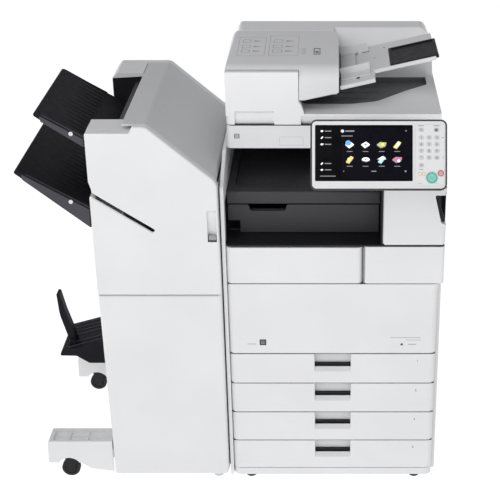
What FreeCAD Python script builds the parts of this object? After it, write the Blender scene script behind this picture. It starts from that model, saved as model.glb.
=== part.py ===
"""Office photocopier with four paper cassettes, a document feeder and a floor-standing finisher.

Units are millimetres.  The machine frame has X across the machine to the right, Y from the front
to the back and Z up from the floor.  X = 0 is the middle of the copier, Y = 0 is the plane of its
cassette fronts and Z = 0 is the floor.  Every node is shifted at export so that the origin is the
centre of the whole object's bounding box, on the floor.
"""

import FreeCAD, Part

import math
import os

Vector = FreeCAD.Vector

# ---- driving dimensions -------------------------------------------------------------------------

WALL = 3.0                 # moulded cover wall
GAP = 1.5                  # seam between two covers

# copier body
HALF = 283.0               # half width of the cassette fronts
SIDE = 293.0               # outer face of the side covers
BACK = 585.0               # outer face of the rear cover
FRONT_DEPTH = 28.0         # depth of the front covers
CORNER = 16.0              # plan radius of the front covers' vertical edges
PLINTH_Z = (16.0, 38.0)
CASSETTE_Z0 = 40.0
CASSETTE_PITCH = 94.0
CASSETTE_COUNT = 4
FRONT_COVER_Z = (417.0, 628.5)
TONER_DOOR_Z = (631.0, 736.0)
TONER_DOOR_RIGHT = 80.0
DECK_Z = 740.0             # floor of the output cavity
BLOCK_LEFT = 131.0         # left face of the block under the control panel
BLOCK_BOTTOM = 745.0  # its lower edge, above the dark deck strip
BLOCK_TOP = 905.0
RIGHT_FRONT = 297.0        # right edge of the upper front covers
CAVITY_TOP = 968.0
READER_FRONT = 130.0       # the reader and the feeder are set back from the front covers
READER_HALF = 281.0
READER_TOP = 1031.0
LID_BOTTOM = 1034.0
LID_RIGHT = 287.0
LID_BACK = 583.0
LID_DECK = 1063.0          # upper face of the platen cover at the right
FEEDER_RIGHT = 16.0
FEEDER_SEAM = 1178.0
FEEDER_BACK = 455.0
LID_TOP = 1197.0

LID_HINGE = (577.0, 1032.5)    # Y, Z of the axis at the back
LID_HINGE_X = (-170.0, 190.0)  # left ends of the two hinge knuckles

# document tray
TRAY_SLOPE = math.radians(13.0)
TRAY_ROOT = (21.0, 1123.5)     # X, Z of the lower face at the feeder
TRAY_THICK = 10.0
TRAY_FRONT_WIDE = 148.0
TRAY_FRONT = 224.0
TRAY_BACK = 450.0

# jam-access door and bypass tray on the right
DOOR_FRONT = 131.0
BYPASS_Y = (172.0, 498.0)

# control panel
PANEL_CENTRE = Vector(113, -119, 1044)
PANEL_SIZE = (334.0, 172.0, 26.0)
PANEL_TILT = 25.0
PANEL_PIVOT_BEHIND = 45.0
SCREEN_SIZE = (240.0, 138.0)
SCREEN_OFFSET = (-36.5, 4.5)   # from the panel's centre, across and up
KEY_AREA = (72.0, 150.0)
KEY_OFFSET = (125.5, -1.0)
START_KEY = (130.5, -56.0, 12.0)   # across, up, radius
STOP_KEY = (152.5, -45.0, 6.0)

# finisher
FIN_LEFT = -627.0
FIN_RIGHT = -297.0
FIN_FRONT = -20.0
FIN_BACK = 562.0
FIN_BOTTOM = 29.0
FIN_SPLIT = 608.0
FIN_SHELF = 1063.0
FIN_TOP = 1080.0
FIN_BEND_X = -472.0
FIN_SLOPE_END = 930.0
EXIT_X = -536.0            # left edge of the top cover, above the exit
EXIT_FRONT = 90.0
EXIT_BACK = 439.0
FENCE_X = -560.0           # wall that the stacked sheets lean against
LEG_X = (-812.0, -626.5)
LEG_Y = 69.0
LEG_FRONTS = (-9.0, 468.0)
LEG_TOP = 134.0
CASTER_X = -748.0
CASTER_RADIUS = 26.0
CASTER_WIDTH = 20.0
CASTER_TRAIL = -8.0
STACK_SLOPE = math.radians(30.0)
FLAP_PIVOT = (-766.0, 326.0)   # X, Z of the booklet flap's pin

NODES = {}


# ---- helpers ------------------------------------------------------------------------------------

def box(x0, x1, y0, y1, z0, z1):
    """Box between two corners."""
    return Part.makeBox(x1 - x0, y1 - y0, z1 - z0, Vector(x0, y0, z0))


def place(plane, base, a, b):
    """Point (a, b) of a drawing plane, at height base on the axis across that plane."""
    if plane == "XY":
        return Vector(a, b, base)
    if plane == "XZ":
        return Vector(a, base, b)
    return Vector(base, a, b)


def outline(plane, base, points):
    """Closed wire through (a, b, radius) corners, each rounded by a tangent arc of its radius."""
    count = len(points)
    corners = [Vector(p[0], p[1], 0) for p in points]
    ends = []
    for i, point in enumerate(points):
        radius = point[2] if len(point) > 2 else 0.0
        here = corners[i]
        before = (corners[i - 1] - here).normalize()
        after = (corners[(i + 1) % count] - here).normalize()
        half = before.getAngle(after) / 2
        if radius <= 0 or half > math.radians(89.5):
            ends.append((here, None, here))
            continue
        reach = radius / math.tan(half)
        inward = (before + after).normalize()
        centre = here + inward * (radius / math.sin(half))
        ends.append((here + before * reach, centre - inward * radius, here + after * reach))
    edges = []
    for i, (start, middle, end) in enumerate(ends):
        follow = ends[(i + 1) % count][0]
        a = place(plane, base, start.x, start.y)
        c = place(plane, base, end.x, end.y)
        d = place(plane, base, follow.x, follow.y)
        if middle is not None:
            b = place(plane, base, middle.x, middle.y)
            edges.append(Part.Arc(a, b, c).toShape())
        if (d - c).Length > 1e-4:
            edges.append(Part.makeLine(c, d))
    return Part.Wire(edges)


def prism(plane, base, top, points):
    """Solid between base and top on the axis across the plane, with a rounded outline."""
    along = place(plane, top - base, 0, 0)
    return Part.Face(outline(plane, base, points)).extrude(along)


def rectangle(a0, a1, b0, b1, radius):
    """Corners of a rectangle, all with one radius."""
    return [(a0, b0, radius), (a1, b0, radius), (a1, b1, radius), (a0, b1, radius)]


def pan(x0, x1, y0, y1, z0, z1, radius=CORNER, wall=WALL):
    """Front cover: a tray open at the back, with rounded vertical front edges."""
    outer = [(x0, y1, 0), (x0, y0, radius), (x1, y0, radius), (x1, y1, 0)]
    inner_radius = max(radius - wall, 0.5)
    inner = [
        (x0 + wall, y1 + 1, 0),
        (x0 + wall, y0 + wall, inner_radius),
        (x1 - wall, y0 + wall, inner_radius),
        (x1 - wall, y1 + 1, 0),
    ]
    shell = prism("XY", z0, z1, outer)
    return shell.cut(prism("XY", z0 + wall, z1 - wall, inner))


def cylinder(start, end, radius):
    """Cylinder from one point to another."""
    axis = end - start
    return Part.makeCylinder(radius, axis.Length, start, axis)


def tube(start, end, outer, inner):
    """Hollow cylinder."""
    axis = end - start
    over = axis.normalize() * 1.0
    return cylinder(start, end, outer).cut(cylinder(start - over, end + over, inner))


def soften(shape, radius, wanted):
    """Rounds the edges for which wanted(edge's bounding box) is true."""
    edges = [e for e in shape.Edges if wanted(e.BoundBox)]
    return shape.makeFillet(radius, edges)


def join(shapes):
    """One solid from overlapping or touching solids."""
    first = shapes[0]
    return first.fuse(shapes[1:]).removeSplitter()


def node(name, *shapes):
    """Keeps the separate solids of one sub-part."""
    NODES[name] = [solid for shape in shapes for solid in shape.Solids]


# ---- copier: frame and fixed covers -------------------------------------------------------------

def main_frame():
    """Welded sheet-steel frame: base, side plates, rear plate, two decks and the cassette rails."""
    side = HALF - 4
    plates = [
        box(-side, side, 36, 566, 24, 32),
        box(-side, -side + 3, 36, 566, 32, DECK_Z - 4),
        box(side - 3, side, 36, 566, 32, DECK_Z - 4),
        box(-side, side, 566, 570, 24, CAVITY_TOP),
        box(-side + 3, side - 3, 36, 566, 418, 422),
        box(-side, side, 36, 566, DECK_Z - 4, DECK_Z),
        box(BLOCK_LEFT + 3, BLOCK_LEFT + 6, 134, 566, DECK_Z, CAVITY_TOP),
        box(side - 3, side, 134, 566, DECK_Z, CAVITY_TOP),
        box(-side, -side + 60, 548, 566, DECK_Z, CAVITY_TOP),
    ]
    for index in range(CASSETTE_COUNT):
        z = CASSETTE_Z0 + CASSETTE_PITCH * index + 20
        plates.append(box(-side + 3, -side + 16, 40, 560, z, z + 8))
        plates.append(box(side - 16, side - 3, 40, 560, z, z + 8))
    node("main_frame", *plates)


def base_plinth():
    """Skirt round the foot of the copier."""
    z0, z1 = PLINTH_Z
    ring = prism("XY", z0, z1, [
        (-HALF, 570, 0), (-HALF, 0, CORNER + 4), (HALF, 0, CORNER + 4), (HALF, 570, 0),
    ])
    hollow = prism("XY", z0 - 1, z1 + 1, [
        (-HALF + 3.5, 571, 0), (-HALF + 3.5, 5, CORNER), (HALF - 3.5, 5, CORNER), (HALF - 3.5, 571, 0),
    ])
    ring = ring.cut(hollow)
    bars = [box(-HALF + 3, HALF - 3, 14, 60, z0, 24), box(-HALF + 3, HALF - 3, 540, 570, z0, 24)]
    node("base_plinth", join([ring] + bars))


def levelling_feet():
    """Four screw feet under the copier."""
    node("levelling_feet", *[screw_foot(x, y, PLINTH_Z[0]) for x in (-235, 235) for y in (29, 553)])


def screw_foot(x, y, top):
    """Round pad with its locknut and its stud, which reaches up to top."""
    pad = Part.makeCone(15, 13, 9, Vector(x, y, 0))
    stud = cylinder(Vector(x, y, 9), Vector(x, y, top), 5)
    nut = prism("XY", 9, 13, [
        (x + 8 * math.cos(k * math.pi / 3), y + 8 * math.sin(k * math.pi / 3)) for k in range(6)
    ])
    return join([pad, stud, nut])


def side_covers():
    """Left cover with the paper hand-over slot, and the plain lower right cover."""
    left = prism("YZ", -SIDE, -HALF - 0.5, [
        (2, 16, 0), (2, BLOCK_TOP, 10), (READER_FRONT, CAVITY_TOP - 3, 6),
        (570, CAVITY_TOP - 3, 0), (570, 16, 0),
    ])
    slot = prism("YZ", -SIDE - 1, -HALF, rectangle(172, 468, 876, 896, 6))
    hollows = [box(-SIDE + WALL, -HALF, y, y + 164, z, z + 270) for y in (34, 206, 378) for z in (30, 308, 586)]
    node("left_cover", left.cut(slot).cut(Part.makeCompound(hollows)))
    right = prism("YZ", HALF + 0.5, SIDE, [
        (30, 16, 8), (570, 16, 8), (570, 599, 8), (DOOR_FRONT - 2, 599, 0), (DOOR_FRONT - 2, 740, 4),
        (30, 740, 4),
    ])
    panel = prism("YZ", SIDE - 1.5, SIDE + 1, rectangle(70, 530, 60, 400, 20))
    hollows = [box(HALF, SIDE - WALL - 1.5, y, y + 164, z, z + 270) for y in (44, 216, 388) for z in (30, 312)]
    node("right_cover", right.cut(panel).cut(Part.makeCompound(hollows)))


def rear_cover():
    """Rear cover with two fields of louvres and the opening for the power inlet."""
    outer = prism("XY", 16, CAVITY_TOP - 3, [
        (-SIDE, 571, 0), (-SIDE, BACK, 8), (SIDE, BACK, 8), (SIDE, 571, 0),
    ])
    inner = box(-SIDE + WALL, SIDE - WALL, 570, BACK - WALL, 16 + WALL, CAVITY_TOP - 6)
    cover = outer.cut(inner)
    slots = []
    for column in (-205, 90):
        for row in range(9):
            z = 640 + 18 * row
            slots.append(prism("XZ", BACK - 6, BACK + 1, rectangle(column, column + 120, z, z + 7, 3)))
    slots.append(box(-262, -206, BACK - 6, BACK + 1, 76, 116))
    node("rear_cover", cover.cut(Part.makeCompound(slots)))


def power_inlet():
    """Three-pin appliance inlet, set in the rear cover, for a separate mains lead."""
    body = box(-261, -207, 571, BACK + 2, 77, 115)
    well = prism("XZ", 575, BACK + 3, [
        (-248, 82, 1), (-220, 82, 1), (-220, 104, 1), (-227, 110, 1), (-241, 110, 1), (-248, 104, 1),
    ])
    pins = [box(x - 1, x + 1, 574, BACK - 2, 92, 98) for x in (-241, -227)]
    pins.append(box(-235, -233, 574, BACK, 100, 106))
    node("power_inlet", join([body.cut(well)] + pins))


def right_front_cover():
    """Fixed cover right of the toner door, with the raised block below the control panel."""
    block = pan(BLOCK_LEFT, RIGHT_FRONT, 0, 128, BLOCK_BOTTOM, BLOCK_TOP, 10)
    block = block.common(prism("XZ", -1, 129, [
        (BLOCK_LEFT, BLOCK_BOTTOM, 8), (RIGHT_FRONT, BLOCK_BOTTOM, 8), (RIGHT_FRONT, BLOCK_TOP, 0),
        (BLOCK_LEFT, BLOCK_TOP, 0),
    ]))
    lower = pan(TONER_DOOR_RIGHT + 3, RIGHT_FRONT, 0, FRONT_DEPTH, 631, DECK_Z - 1.5, 10)
    web = box(BLOCK_LEFT + 2, RIGHT_FRONT - 4, 14, 26, 728, 752)
    notch = prism("XZ", -1, 27, [(266, 886, 4), (300, 886, 0), (300, 800, 0), (284, 808, 4)])
    liner = box(262, RIGHT_FRONT - 0.5, 1, 30, 796, 890)
    node("right_front_cover", join([block, lower, web, liner]).cut(notch))


def output_liner():
    """Dark moulding that lines the output cavity: floor, right wall and back wall."""
    z0, z1 = DECK_Z, DECK_Z + 4
    floor = prism("XY", z0, z1, [
        (-HALF, 547, 0), (-HALF, 2, CORNER), (RIGHT_FRONT - 2, 2, 8), (RIGHT_FRONT - 2, 13, 0),
        (BLOCK_LEFT - 0.5, 13, 0), (BLOCK_LEFT - 0.5, 547, 0),
    ])
    right = prism("YZ", BLOCK_LEFT - 4, BLOCK_LEFT - 0.5, [
        (3, z1, 0), (3, BLOCK_TOP - 2, 0), (READER_FRONT, CAVITY_TOP - 4, 0), (547, CAVITY_TOP - 4, 0),
        (547, z1, 0),
    ])
    back = box(-HALF + 4, BLOCK_LEFT - 4, 543, 547, z1, CAVITY_TOP - 4)
    node("output_liner", floor, right, back)


def pass_unit():
    """Paper transport across the cavity to the finisher, with its rollers and upper tray surface."""
    x0, x1 = -HALF + 2, 125.0
    z0 = DECK_Z + 4
    shell = box(x0, x1, 101, 530, z0, 828).cut(box(x0 + 4, x1 - 4, 100, 526, z0 + 3, 820))
    top = prism("YZ", x0, x1, [(80, 829, 2), (80, 863, 5), (526, 863, 5), (526, 829, 0)])
    dish = prism("XY", 850, 864, [
        (x0 + 18, 112, 34), (-110, 112, 50), (-30, 300, 90), (-10, 500, 40), (x0 + 18, 500, 40),
    ])
    exit_slot = box(x0 - 1, x0 + 6, 170, 470, 806, 812)
    top = top.cut(dish)
    body = join([shell, top.fuse(box(x0 + 2, x1 - 2, 104, 524, 826, 830))]).cut(exit_slot)
    rollers = []
    for x in (-220, -90, 40):
        rollers.append(cylinder(Vector(x, 102, 790), Vector(x, 525, 790), 9))
    node("pass_unit", body, *rollers)


def imaging_unit():
    """Drum and developer cartridge behind the front covers, with its drum showing below."""
    case = prism("XZ", 60, 440, [
        (-60, 640, 10), (-60, 715, 10), (40, 715, 20), (90, 690, 20), (90, 640, 10),
    ])
    bore = cylinder(Vector(10, 59, 640), Vector(10, 441, 640), 17.5)
    drum = cylinder(Vector(10, 62, 640), Vector(10, 438, 640), 15)
    handle = prism("XZ", 50, 60, rectangle(-30, 60, 665, 700, 8))
    handle = handle.cut(prism("XZ", 49, 57, rectangle(-20, 50, 672, 693, 5)))
    hopper = box(-54, 34, 66, 434, 668, 709)
    node("imaging_unit", join([case.cut(bore).cut(hopper), handle]), drum)


# ---- copier: doors and cassettes ----------------------------------------------------------------

def front_doors():
    """Large front cover and the small toner door above it; both fold down on their lower edge."""
    ribs = [box(x, x + 3, 2, 22, 424, 622) for x in (-200, -70, 67, 197)]
    front = pan(-HALF, HALF, 0, FRONT_DEPTH, *FRONT_COVER_Z)
    node("front_cover", join([front] + ribs))
    toner = pan(-HALF, TONER_DOOR_RIGHT, 0, FRONT_DEPTH, *TONER_DOOR_Z)
    toner_ribs = [box(x, x + 3, 2, 22, 634, 733) for x in (-190, -20)]
    node("toner_door", join([toner] + toner_ribs))


def toner_bottle():
    """Toner bottle lying front to back; it turns to feed toner, on a hub at the back."""
    start = Vector(-160, 40, 682)
    barrel = cylinder(start, start + Vector(0, 400, 0), 44)
    barrel = soften(barrel, 6, lambda b: b.YLength < 1)
    ridges = []
    for turn in range(9):
        y = 90 + 38 * turn
        ridges.append(Part.makeTorus(44, 3, Vector(-160, y, 682), Vector(0, 1, 0)))
    grip = prism("XZ", 32, 41, rectangle(-184, -136, 676, 688, 5))
    hub = cylinder(start + Vector(0, 399, 0), start + Vector(0, 430, 0), 20)
    node("toner_bottle", join([barrel, grip, hub] + ridges))


def fuser_roller():
    """Heated fixing roller with its shaft, on the paper path at the right."""
    roller = cylinder(Vector(225, 90, 700), Vector(225, 470, 700), 18)
    shaft = cylinder(Vector(225, 70, 700), Vector(225, 490, 700), 7)
    gear = cylinder(Vector(225, 474, 700), Vector(225, 484, 700), 24)
    node("fuser_roller", join([roller, shaft, gear]))


def cassette(index):
    """One paper cassette: bin with guides and lift plate, and its front with the hand pocket."""
    z = CASSETTE_Z0 + CASSETTE_PITCH * index
    number = CASSETTE_COUNT - index
    z_top = z + CASSETTE_PITCH - 2.5
    front = pan(-HALF, HALF, 0, FRONT_DEPTH, z, z_top)
    pocket_z = z_top - 56
    housing = box(-54, 54, 1, FRONT_DEPTH, pocket_z - 6, z_top - 0.5)
    scoop = prism("YZ", -50, 50, [
        (-1, pocket_z, 0), (12, pocket_z + 15, 2), (13, pocket_z + 2, 4), (24, pocket_z + 2, 6),
        (24, z_top + 1, 0), (-1, z_top + 1, 0),
    ])
    node(f"cassette_front_{number}", join([front, housing]).cut(scoop))
    side = HALF - 25
    outer = box(-side, side, FRONT_DEPTH, 545, z + 8, z + 84)
    inner = box(-side + 4, side - 4, FRONT_DEPTH + 4, 541, z + 12, z + 85)
    rails = [
        box(-side - 17, -side + 1, FRONT_DEPTH + 8, 540, z + 31, z + 39),
        box(side - 1, side + 17, FRONT_DEPTH + 8, 540, z + 31, z + 39),
    ]
    tray = join([outer.cut(inner)] + rails)
    lift = prism("XY", z + 16, z + 18, rectangle(-150, 246, 60, 470, 12))
    guides = [
        box(-120, 150, 74, 78, z + 19, z + 80),
        box(-120, 150, 400, 404, z + 19, z + 80),
        box(-184, -180, 160, 320, z + 19, z + 80),
    ]
    node(f"cassette_tray_{number}", tray, lift, *guides)


def right_door():
    """Jam-access door on the right, with a recess for the bypass tray."""
    door = prism("YZ", HALF + 1, 296, rectangle(DOOR_FRONT, 562, 602, 958, 8))
    recess = box(288.5, 300, BYPASS_Y[0] - 3, BYPASS_Y[1] + 3, 622, 908)
    hollow = box(HALF, 286, DOOR_FRONT + 8, 540, 615, 945)
    node("right_door", door.cut(recess).cut(hollow))


def bypass_tray():
    """Manual-feed tray, folded up against the right door."""
    y0, y1 = BYPASS_Y
    leaf = prism("YZ", 290.5, 299.5, rectangle(y0, y1, 625, 905, 14))
    hollow = prism("YZ", 289, 295, rectangle(y0 + 12, y1 - 12, 640, 890, 10))
    guides = [box(290.5, 295.5, y, y + 4, 650, 720) for y in (y0 + 48, y1 - 52)]
    finger = prism("YZ", 296, 301, rectangle(305, 365, 884, 906, 4))
    node("bypass_tray", join([leaf.cut(hollow)] + guides).cut(finger))


# ---- copier: reader, lid and feeder -------------------------------------------------------------

def reader():
    """Scanner box with its two glasses, rails and moving carriage."""
    x0, x1 = -READER_HALF, READER_HALF
    y0, y1 = READER_FRONT, BACK - 2
    plan = [(x0, y1, 8), (x0, y0, 14), (x1, y0, 14), (x1, y1, 8)]
    inner_plan = [
        (x0 + 4, y1 - 4, 6), (x0 + 4, y0 + 4, 10), (x1 - 4, y0 + 4, 10), (x1 - 4, y1 - 4, 6),
    ]
    case = prism("XY", CAVITY_TOP, READER_TOP, plan)
    case = case.cut(prism("XY", CAVITY_TOP + 4, READER_TOP - 4, inner_plan))
    windows = [box(-215, 230, 190, 500, 1020, 1040), box(-262, -236, 190, 500, 1020, 1040)]
    case = case.cut(Part.makeCompound(windows))
    for x in LID_HINGE_X:
        well = box(x - 1, x + 31, LID_HINGE[0] - 9, BACK, LID_HINGE[1] - 6, READER_TOP + 1)
        case = case.cut(well)
        for lug in (x - 7, x + 31.5):
            case = case.fuse(box(
                lug, lug + 5.5, LID_HINGE[0] - 4, LID_HINGE[0] + 4, READER_TOP - 6, READER_TOP + 2.7,
            ))
        case = case.fuse(cylinder(Vector(x - 6, *LID_HINGE), Vector(x + 36, *LID_HINGE), 2))
    rails = [cylinder(Vector(-278, y, 984), Vector(278, y, 984), 4) for y in (165, 525)]
    node("reader_housing", join([case] + rails))
    glasses = [box(-214.5, 229.5, 190.5, 499.5, 1027, 1031), box(-261.5, -236.5, 190.5, 499.5, 1027, 1031)]
    node("platen_glass", *glasses)
    carriage = prism("XZ", 150, 540, rectangle(-268, -212, 976, 1018, 5))
    bores = [cylinder(Vector(-270, y, 984), Vector(-210, y, 984), 4.1) for y in (165, 525)]
    lens = box(-250, -230, 185, 505, 1016, 1020)
    node("scan_carriage", join([carriage.cut(Part.makeCompound(bores)), lens]))


def lid_profile(offset=0.0):
    """Side view of the feeder and the rear ridge: upright front, round shoulder, crowned top."""
    return [
        (READER_FRONT + offset, LID_DECK - 10, 0),
        (READER_FRONT + offset, 1186 - offset, 46 - offset),
        (FEEDER_BACK, LID_TOP - offset, 0),
        (LID_BACK - offset, LID_TOP - 1 - offset, 24),
        (LID_BACK - offset, LID_DECK - 10, 0),
    ]


def ridge_profile():
    """Front view of the rear ridge, with its falling right end."""
    return [
        (-READER_HALF, LID_DECK - 10, 0), (-READER_HALF, 1140, 60), (-READER_HALF + 14, LID_TOP, 22),
        (260, LID_TOP, 34), (280, 1150, 40), (LID_RIGHT - 2, LID_DECK - 10, 0),
    ]


def feeder_hood():
    """Outer form of the feeder cover, before it is hollowed."""
    body = prism("YZ", -READER_HALF, FEEDER_RIGHT, lid_profile())
    ends = prism("XZ", READER_FRONT - 1, FEEDER_BACK, [
        (-READER_HALF, FEEDER_SEAM, 0), (-READER_HALF, FEEDER_SEAM + 3, 3),
        (-READER_HALF + 12, LID_TOP + 6, 30),
        (FEEDER_RIGHT, LID_TOP + 6, 0), (FEEDER_RIGHT, 1121, 5), (-74, 1101, 3), (-88, 1101, 0),
        (-88, FEEDER_SEAM, 0),
    ])
    return body.common(ends).cut(feeder_corner(0.0))


def feeder_corner(inset):
    """Triangle cut off the feeder cover's rear right corner, moved into the cover by inset."""
    return prism("XY", 1000, LID_TOP + 10, [
        (FEEDER_RIGHT + 1, 400 - 3 * inset, 0), (FEEDER_RIGHT + 1, FEEDER_BACK + 3, 0),
        (4 - inset, FEEDER_BACK + 3, 0),
    ])


def lid_base():
    """Platen cover with the feeder's lower body, the output recess and the rear ridge."""
    x0, x1 = -READER_HALF, LID_RIGHT
    plate = prism("XY", LID_BOTTOM, LID_DECK, [
        (x0, LID_BACK - 9, 8), (x0, READER_FRONT, 14), (x1, READER_FRONT, 10), (x1, LID_BACK - 9, 8),
    ])
    recess = prism("XY", 1046, LID_TOP, [
        (-84, 455, 0), (-84, 214, 20), (50, 214, 80), (120, 236, 60), (200, 325, 60), (264, 384, 20),
        (264, 455, 0),
    ])
    ramp = prism("YZ", 40, LID_RIGHT, [
        (150, LID_DECK - 6, 0), (150, LID_DECK - 0.5, 60), (340, 1088, 60), (LID_BACK - 20, 1088, 0),
        (LID_BACK - 20, LID_DECK - 6, 0),
    ])
    ramp = ramp.common(prism("XZ", 150, LID_BACK, [
        (40, LID_DECK - 8, 0), (40, LID_DECK - 0.5, 60), (262, 1089, 20), (LID_RIGHT, 1089, 6),
        (LID_RIGHT, LID_DECK - 8, 0),
    ]))
    front_wall = prism("YZ", x0, -89.5, [
        (READER_FRONT, LID_DECK - 5, 0), (READER_FRONT, 1100, 0), (READER_FRONT, FEEDER_SEAM - GAP, 0),
        (152, FEEDER_SEAM - GAP, 0), (152, LID_DECK - 5, 0),
    ])
    left_wall = prism("XZ", 140, FEEDER_BACK - 1, [
        (x0, LID_DECK - 5, 0), (x0, FEEDER_SEAM - GAP, 0), (x0 + 14, FEEDER_SEAM - GAP, 0),
        (x0 + 14, LID_DECK - 5, 0),
    ])
    corner = prism("XZ", READER_FRONT, 152, [
        (-90, LID_DECK - 5, 0), (-90, 1099, 0), (-84, 1090, 8), (-72, LID_DECK - 5, 8),
    ])
    ridge = prism("YZ", x0, x1, [
        (FEEDER_BACK + 1.5, LID_DECK - 5, 0), (FEEDER_BACK + 1.5, LID_TOP, 3),
        (LID_BACK, LID_TOP - 1, 24), (LID_BACK, LID_DECK - 5, 0),
    ]).common(prism("XZ", FEEDER_BACK, LID_BACK + 1, ridge_profile()))
    valley = prism("YZ", 4, x1 + 1, [
        (FEEDER_BACK, 1150, 0), (FEEDER_BACK + 40, LID_TOP - 4, 14), (FEEDER_BACK + 48, LID_TOP + 2, 0),
        (FEEDER_BACK, LID_TOP + 2, 0),
    ])
    ridge = ridge.cut(valley)
    hollow = box(x0 + 5, 244, FEEDER_BACK + 6, LID_BACK - 5, LID_BOTTOM + 3, 1145)
    guide_bed = prism("XZ", 215, FEEDER_BACK + 3, [
        (x0 + 13, 1112, 0), (x0 + 13, 1120, 0), (-150, 1112, 20), (-92, 1096, 10), (FEEDER_RIGHT - 4, 1096, 3),
        (FEEDER_RIGHT - 4, 1089, 3), (-94, 1089, 10), (-154, 1104, 20),
    ])
    undercut = prism("YZ", -84, x1 + 1, [
        (READER_FRONT - 2, LID_BOTTOM - 1, 0), (READER_FRONT - 2, LID_DECK - 4, 0),
        (READER_FRONT, LID_DECK - 4, 0), (READER_FRONT + 12, LID_BOTTOM - 1, 0),
    ])
    body = join([plate.cut(undercut), ramp, front_wall, left_wall, corner, ridge])
    body = join([body.cut(recess).cut(hollow), guide_bed])
    body = body.cut(box(x0 + 6, -96, 156, 450, LID_BOTTOM + 9, LID_DECK - 3))
    body = body.cut(box(x0 + 6, x1 - 6, 150, 560, LID_BOTTOM - 1, LID_BOTTOM + 6))
    pad = prism("XY", LID_BOTTOM, LID_BOTTOM + 5.8, rectangle(x0 + 12, 250, 160, 540, 6))
    grip = prism("YZ", -258, -154, [
        (READER_FRONT - 1, LID_BOTTOM - 1, 0), (READER_FRONT - 1, 1071, 0), (138, 1066, 4),
        (140, LID_BOTTOM - 1, 0),
    ])
    body = body.cut(grip)
    for x in LID_HINGE_X:
        leaf = box(x, x + 30, LID_HINGE[0] - 8, LID_HINGE[0] + 2, LID_HINGE[1], LID_BOTTOM + 8)
        body = join([body, leaf, cylinder(Vector(x, *LID_HINGE), Vector(x + 30, *LID_HINGE), 4.5)])
        body = body.cut(cylinder(Vector(x - 1, *LID_HINGE), Vector(x + 31, *LID_HINGE), 2.2))
    node("lid_base", body, pad)


def feeder_cover():
    """Hinged feeder cover: crowned shell over the feed path with the overhanging right part."""
    hood = feeder_hood()
    inner = prism("YZ", -READER_HALF + 20, FEEDER_RIGHT - 4, [
        (READER_FRONT + 4, 1000, 0), (READER_FRONT + 4, 1182, 42), (FEEDER_BACK + 2, LID_TOP - 4, 0),
        (FEEDER_BACK + 2, 1000, 0),
    ])
    base_wall = box(-READER_HALF, -89, READER_FRONT - 1, 153.5, 1000, FEEDER_SEAM)
    inner = inner.cut(feeder_corner(4.0))
    notch = box(FEEDER_RIGHT - 22, FEEDER_RIGHT + 1, 236, 442, 1000, 1166)
    node("feeder_cover", hood.cut(inner).cut(notch).cut(base_wall))


def feed_roller():
    """Separation and feed roller under the feeder cover."""
    roller = cylinder(Vector(-40, 300, 1140), Vector(-40, 370, 1140), 14)
    shaft = cylinder(Vector(-40, 180, 1140), Vector(-40, 440, 1140), 5)
    node("feed_roller", join([roller, shaft]))


def tray_point(along, up):
    """X and Z of a point on the sloping document tray: along it, and up from its lower face."""
    cos, sin = math.cos(TRAY_SLOPE), math.sin(TRAY_SLOPE)
    return (TRAY_ROOT[0] + along * cos - up * sin, TRAY_ROOT[1] + along * sin + up * cos)


def tray_slab(along0, along1, up0, up1, y0, y1, radius=0.0):
    """Block lying on the document tray."""
    corners = [(along0, up0), (along1, up0), (along1, up1), (along0, up1)]
    return prism("XZ", y0, y1, [(*tray_point(a, u), radius) for a, u in corners])


def document_tray():
    """Stepped sloping tray for originals, its two sliding guides and the dark extension."""
    left = tray_slab(0, 94, 0, TRAY_THICK, TRAY_FRONT_WIDE, TRAY_BACK, 2)
    right = tray_slab(90, 262, 0, TRAY_THICK, TRAY_FRONT, TRAY_BACK, 2)
    channel = tray_slab(46, 54, 4, 12, 178, 446)
    pocket = tray_slab(138, 264, 3, 11, TRAY_FRONT + 4, 392)
    tray = join([left, right]).cut(pocket)
    node("document_tray", tray.cut(channel))
    for name, y_wall, y0, y1 in (
        ("front_document_guide", 238.0, 190.0, 240.0), ("rear_document_guide", 418.0, 416.0, 440.0),
    ):
        flange = tray_slab(4, 84, TRAY_THICK + 0.4, TRAY_THICK + 3.4, y0, y1, 1)
        wall = tray_slab(4, 84, TRAY_THICK + 0.4, TRAY_THICK + 20, y_wall - 1, y_wall + 2, 1)
        key_y = (y0 + y1) / 2
        key = tray_slab(47, 53, 5, TRAY_THICK + 1, key_y - 8, key_y + 8)
        node(name, join([flange, wall, key]))
    leaf = tray_slab(139, 270, 3.5, 10.5, TRAY_FRONT + 5, 391, 2)
    dish = tray_slab(146, 262, 7.5, 12, TRAY_FRONT + 14, 384, 1.5)
    lip = tray_slab(139, 270, 8, 13, TRAY_FRONT + 5, TRAY_FRONT + 10, 1)
    node("tray_extension", join([leaf.cut(dish), lip]))


# ---- copier: control panel ----------------------------------------------------------------------

def panel_frame(shape):
    """Moves a shape drawn flat, facing up at the origin, to the tilted panel's place."""
    moved = shape.copy()
    moved.rotate(Vector(0, 0, 0), Vector(1, 0, 0), 90.0 - PANEL_TILT)
    moved.translate(PANEL_CENTRE)
    return moved


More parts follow.
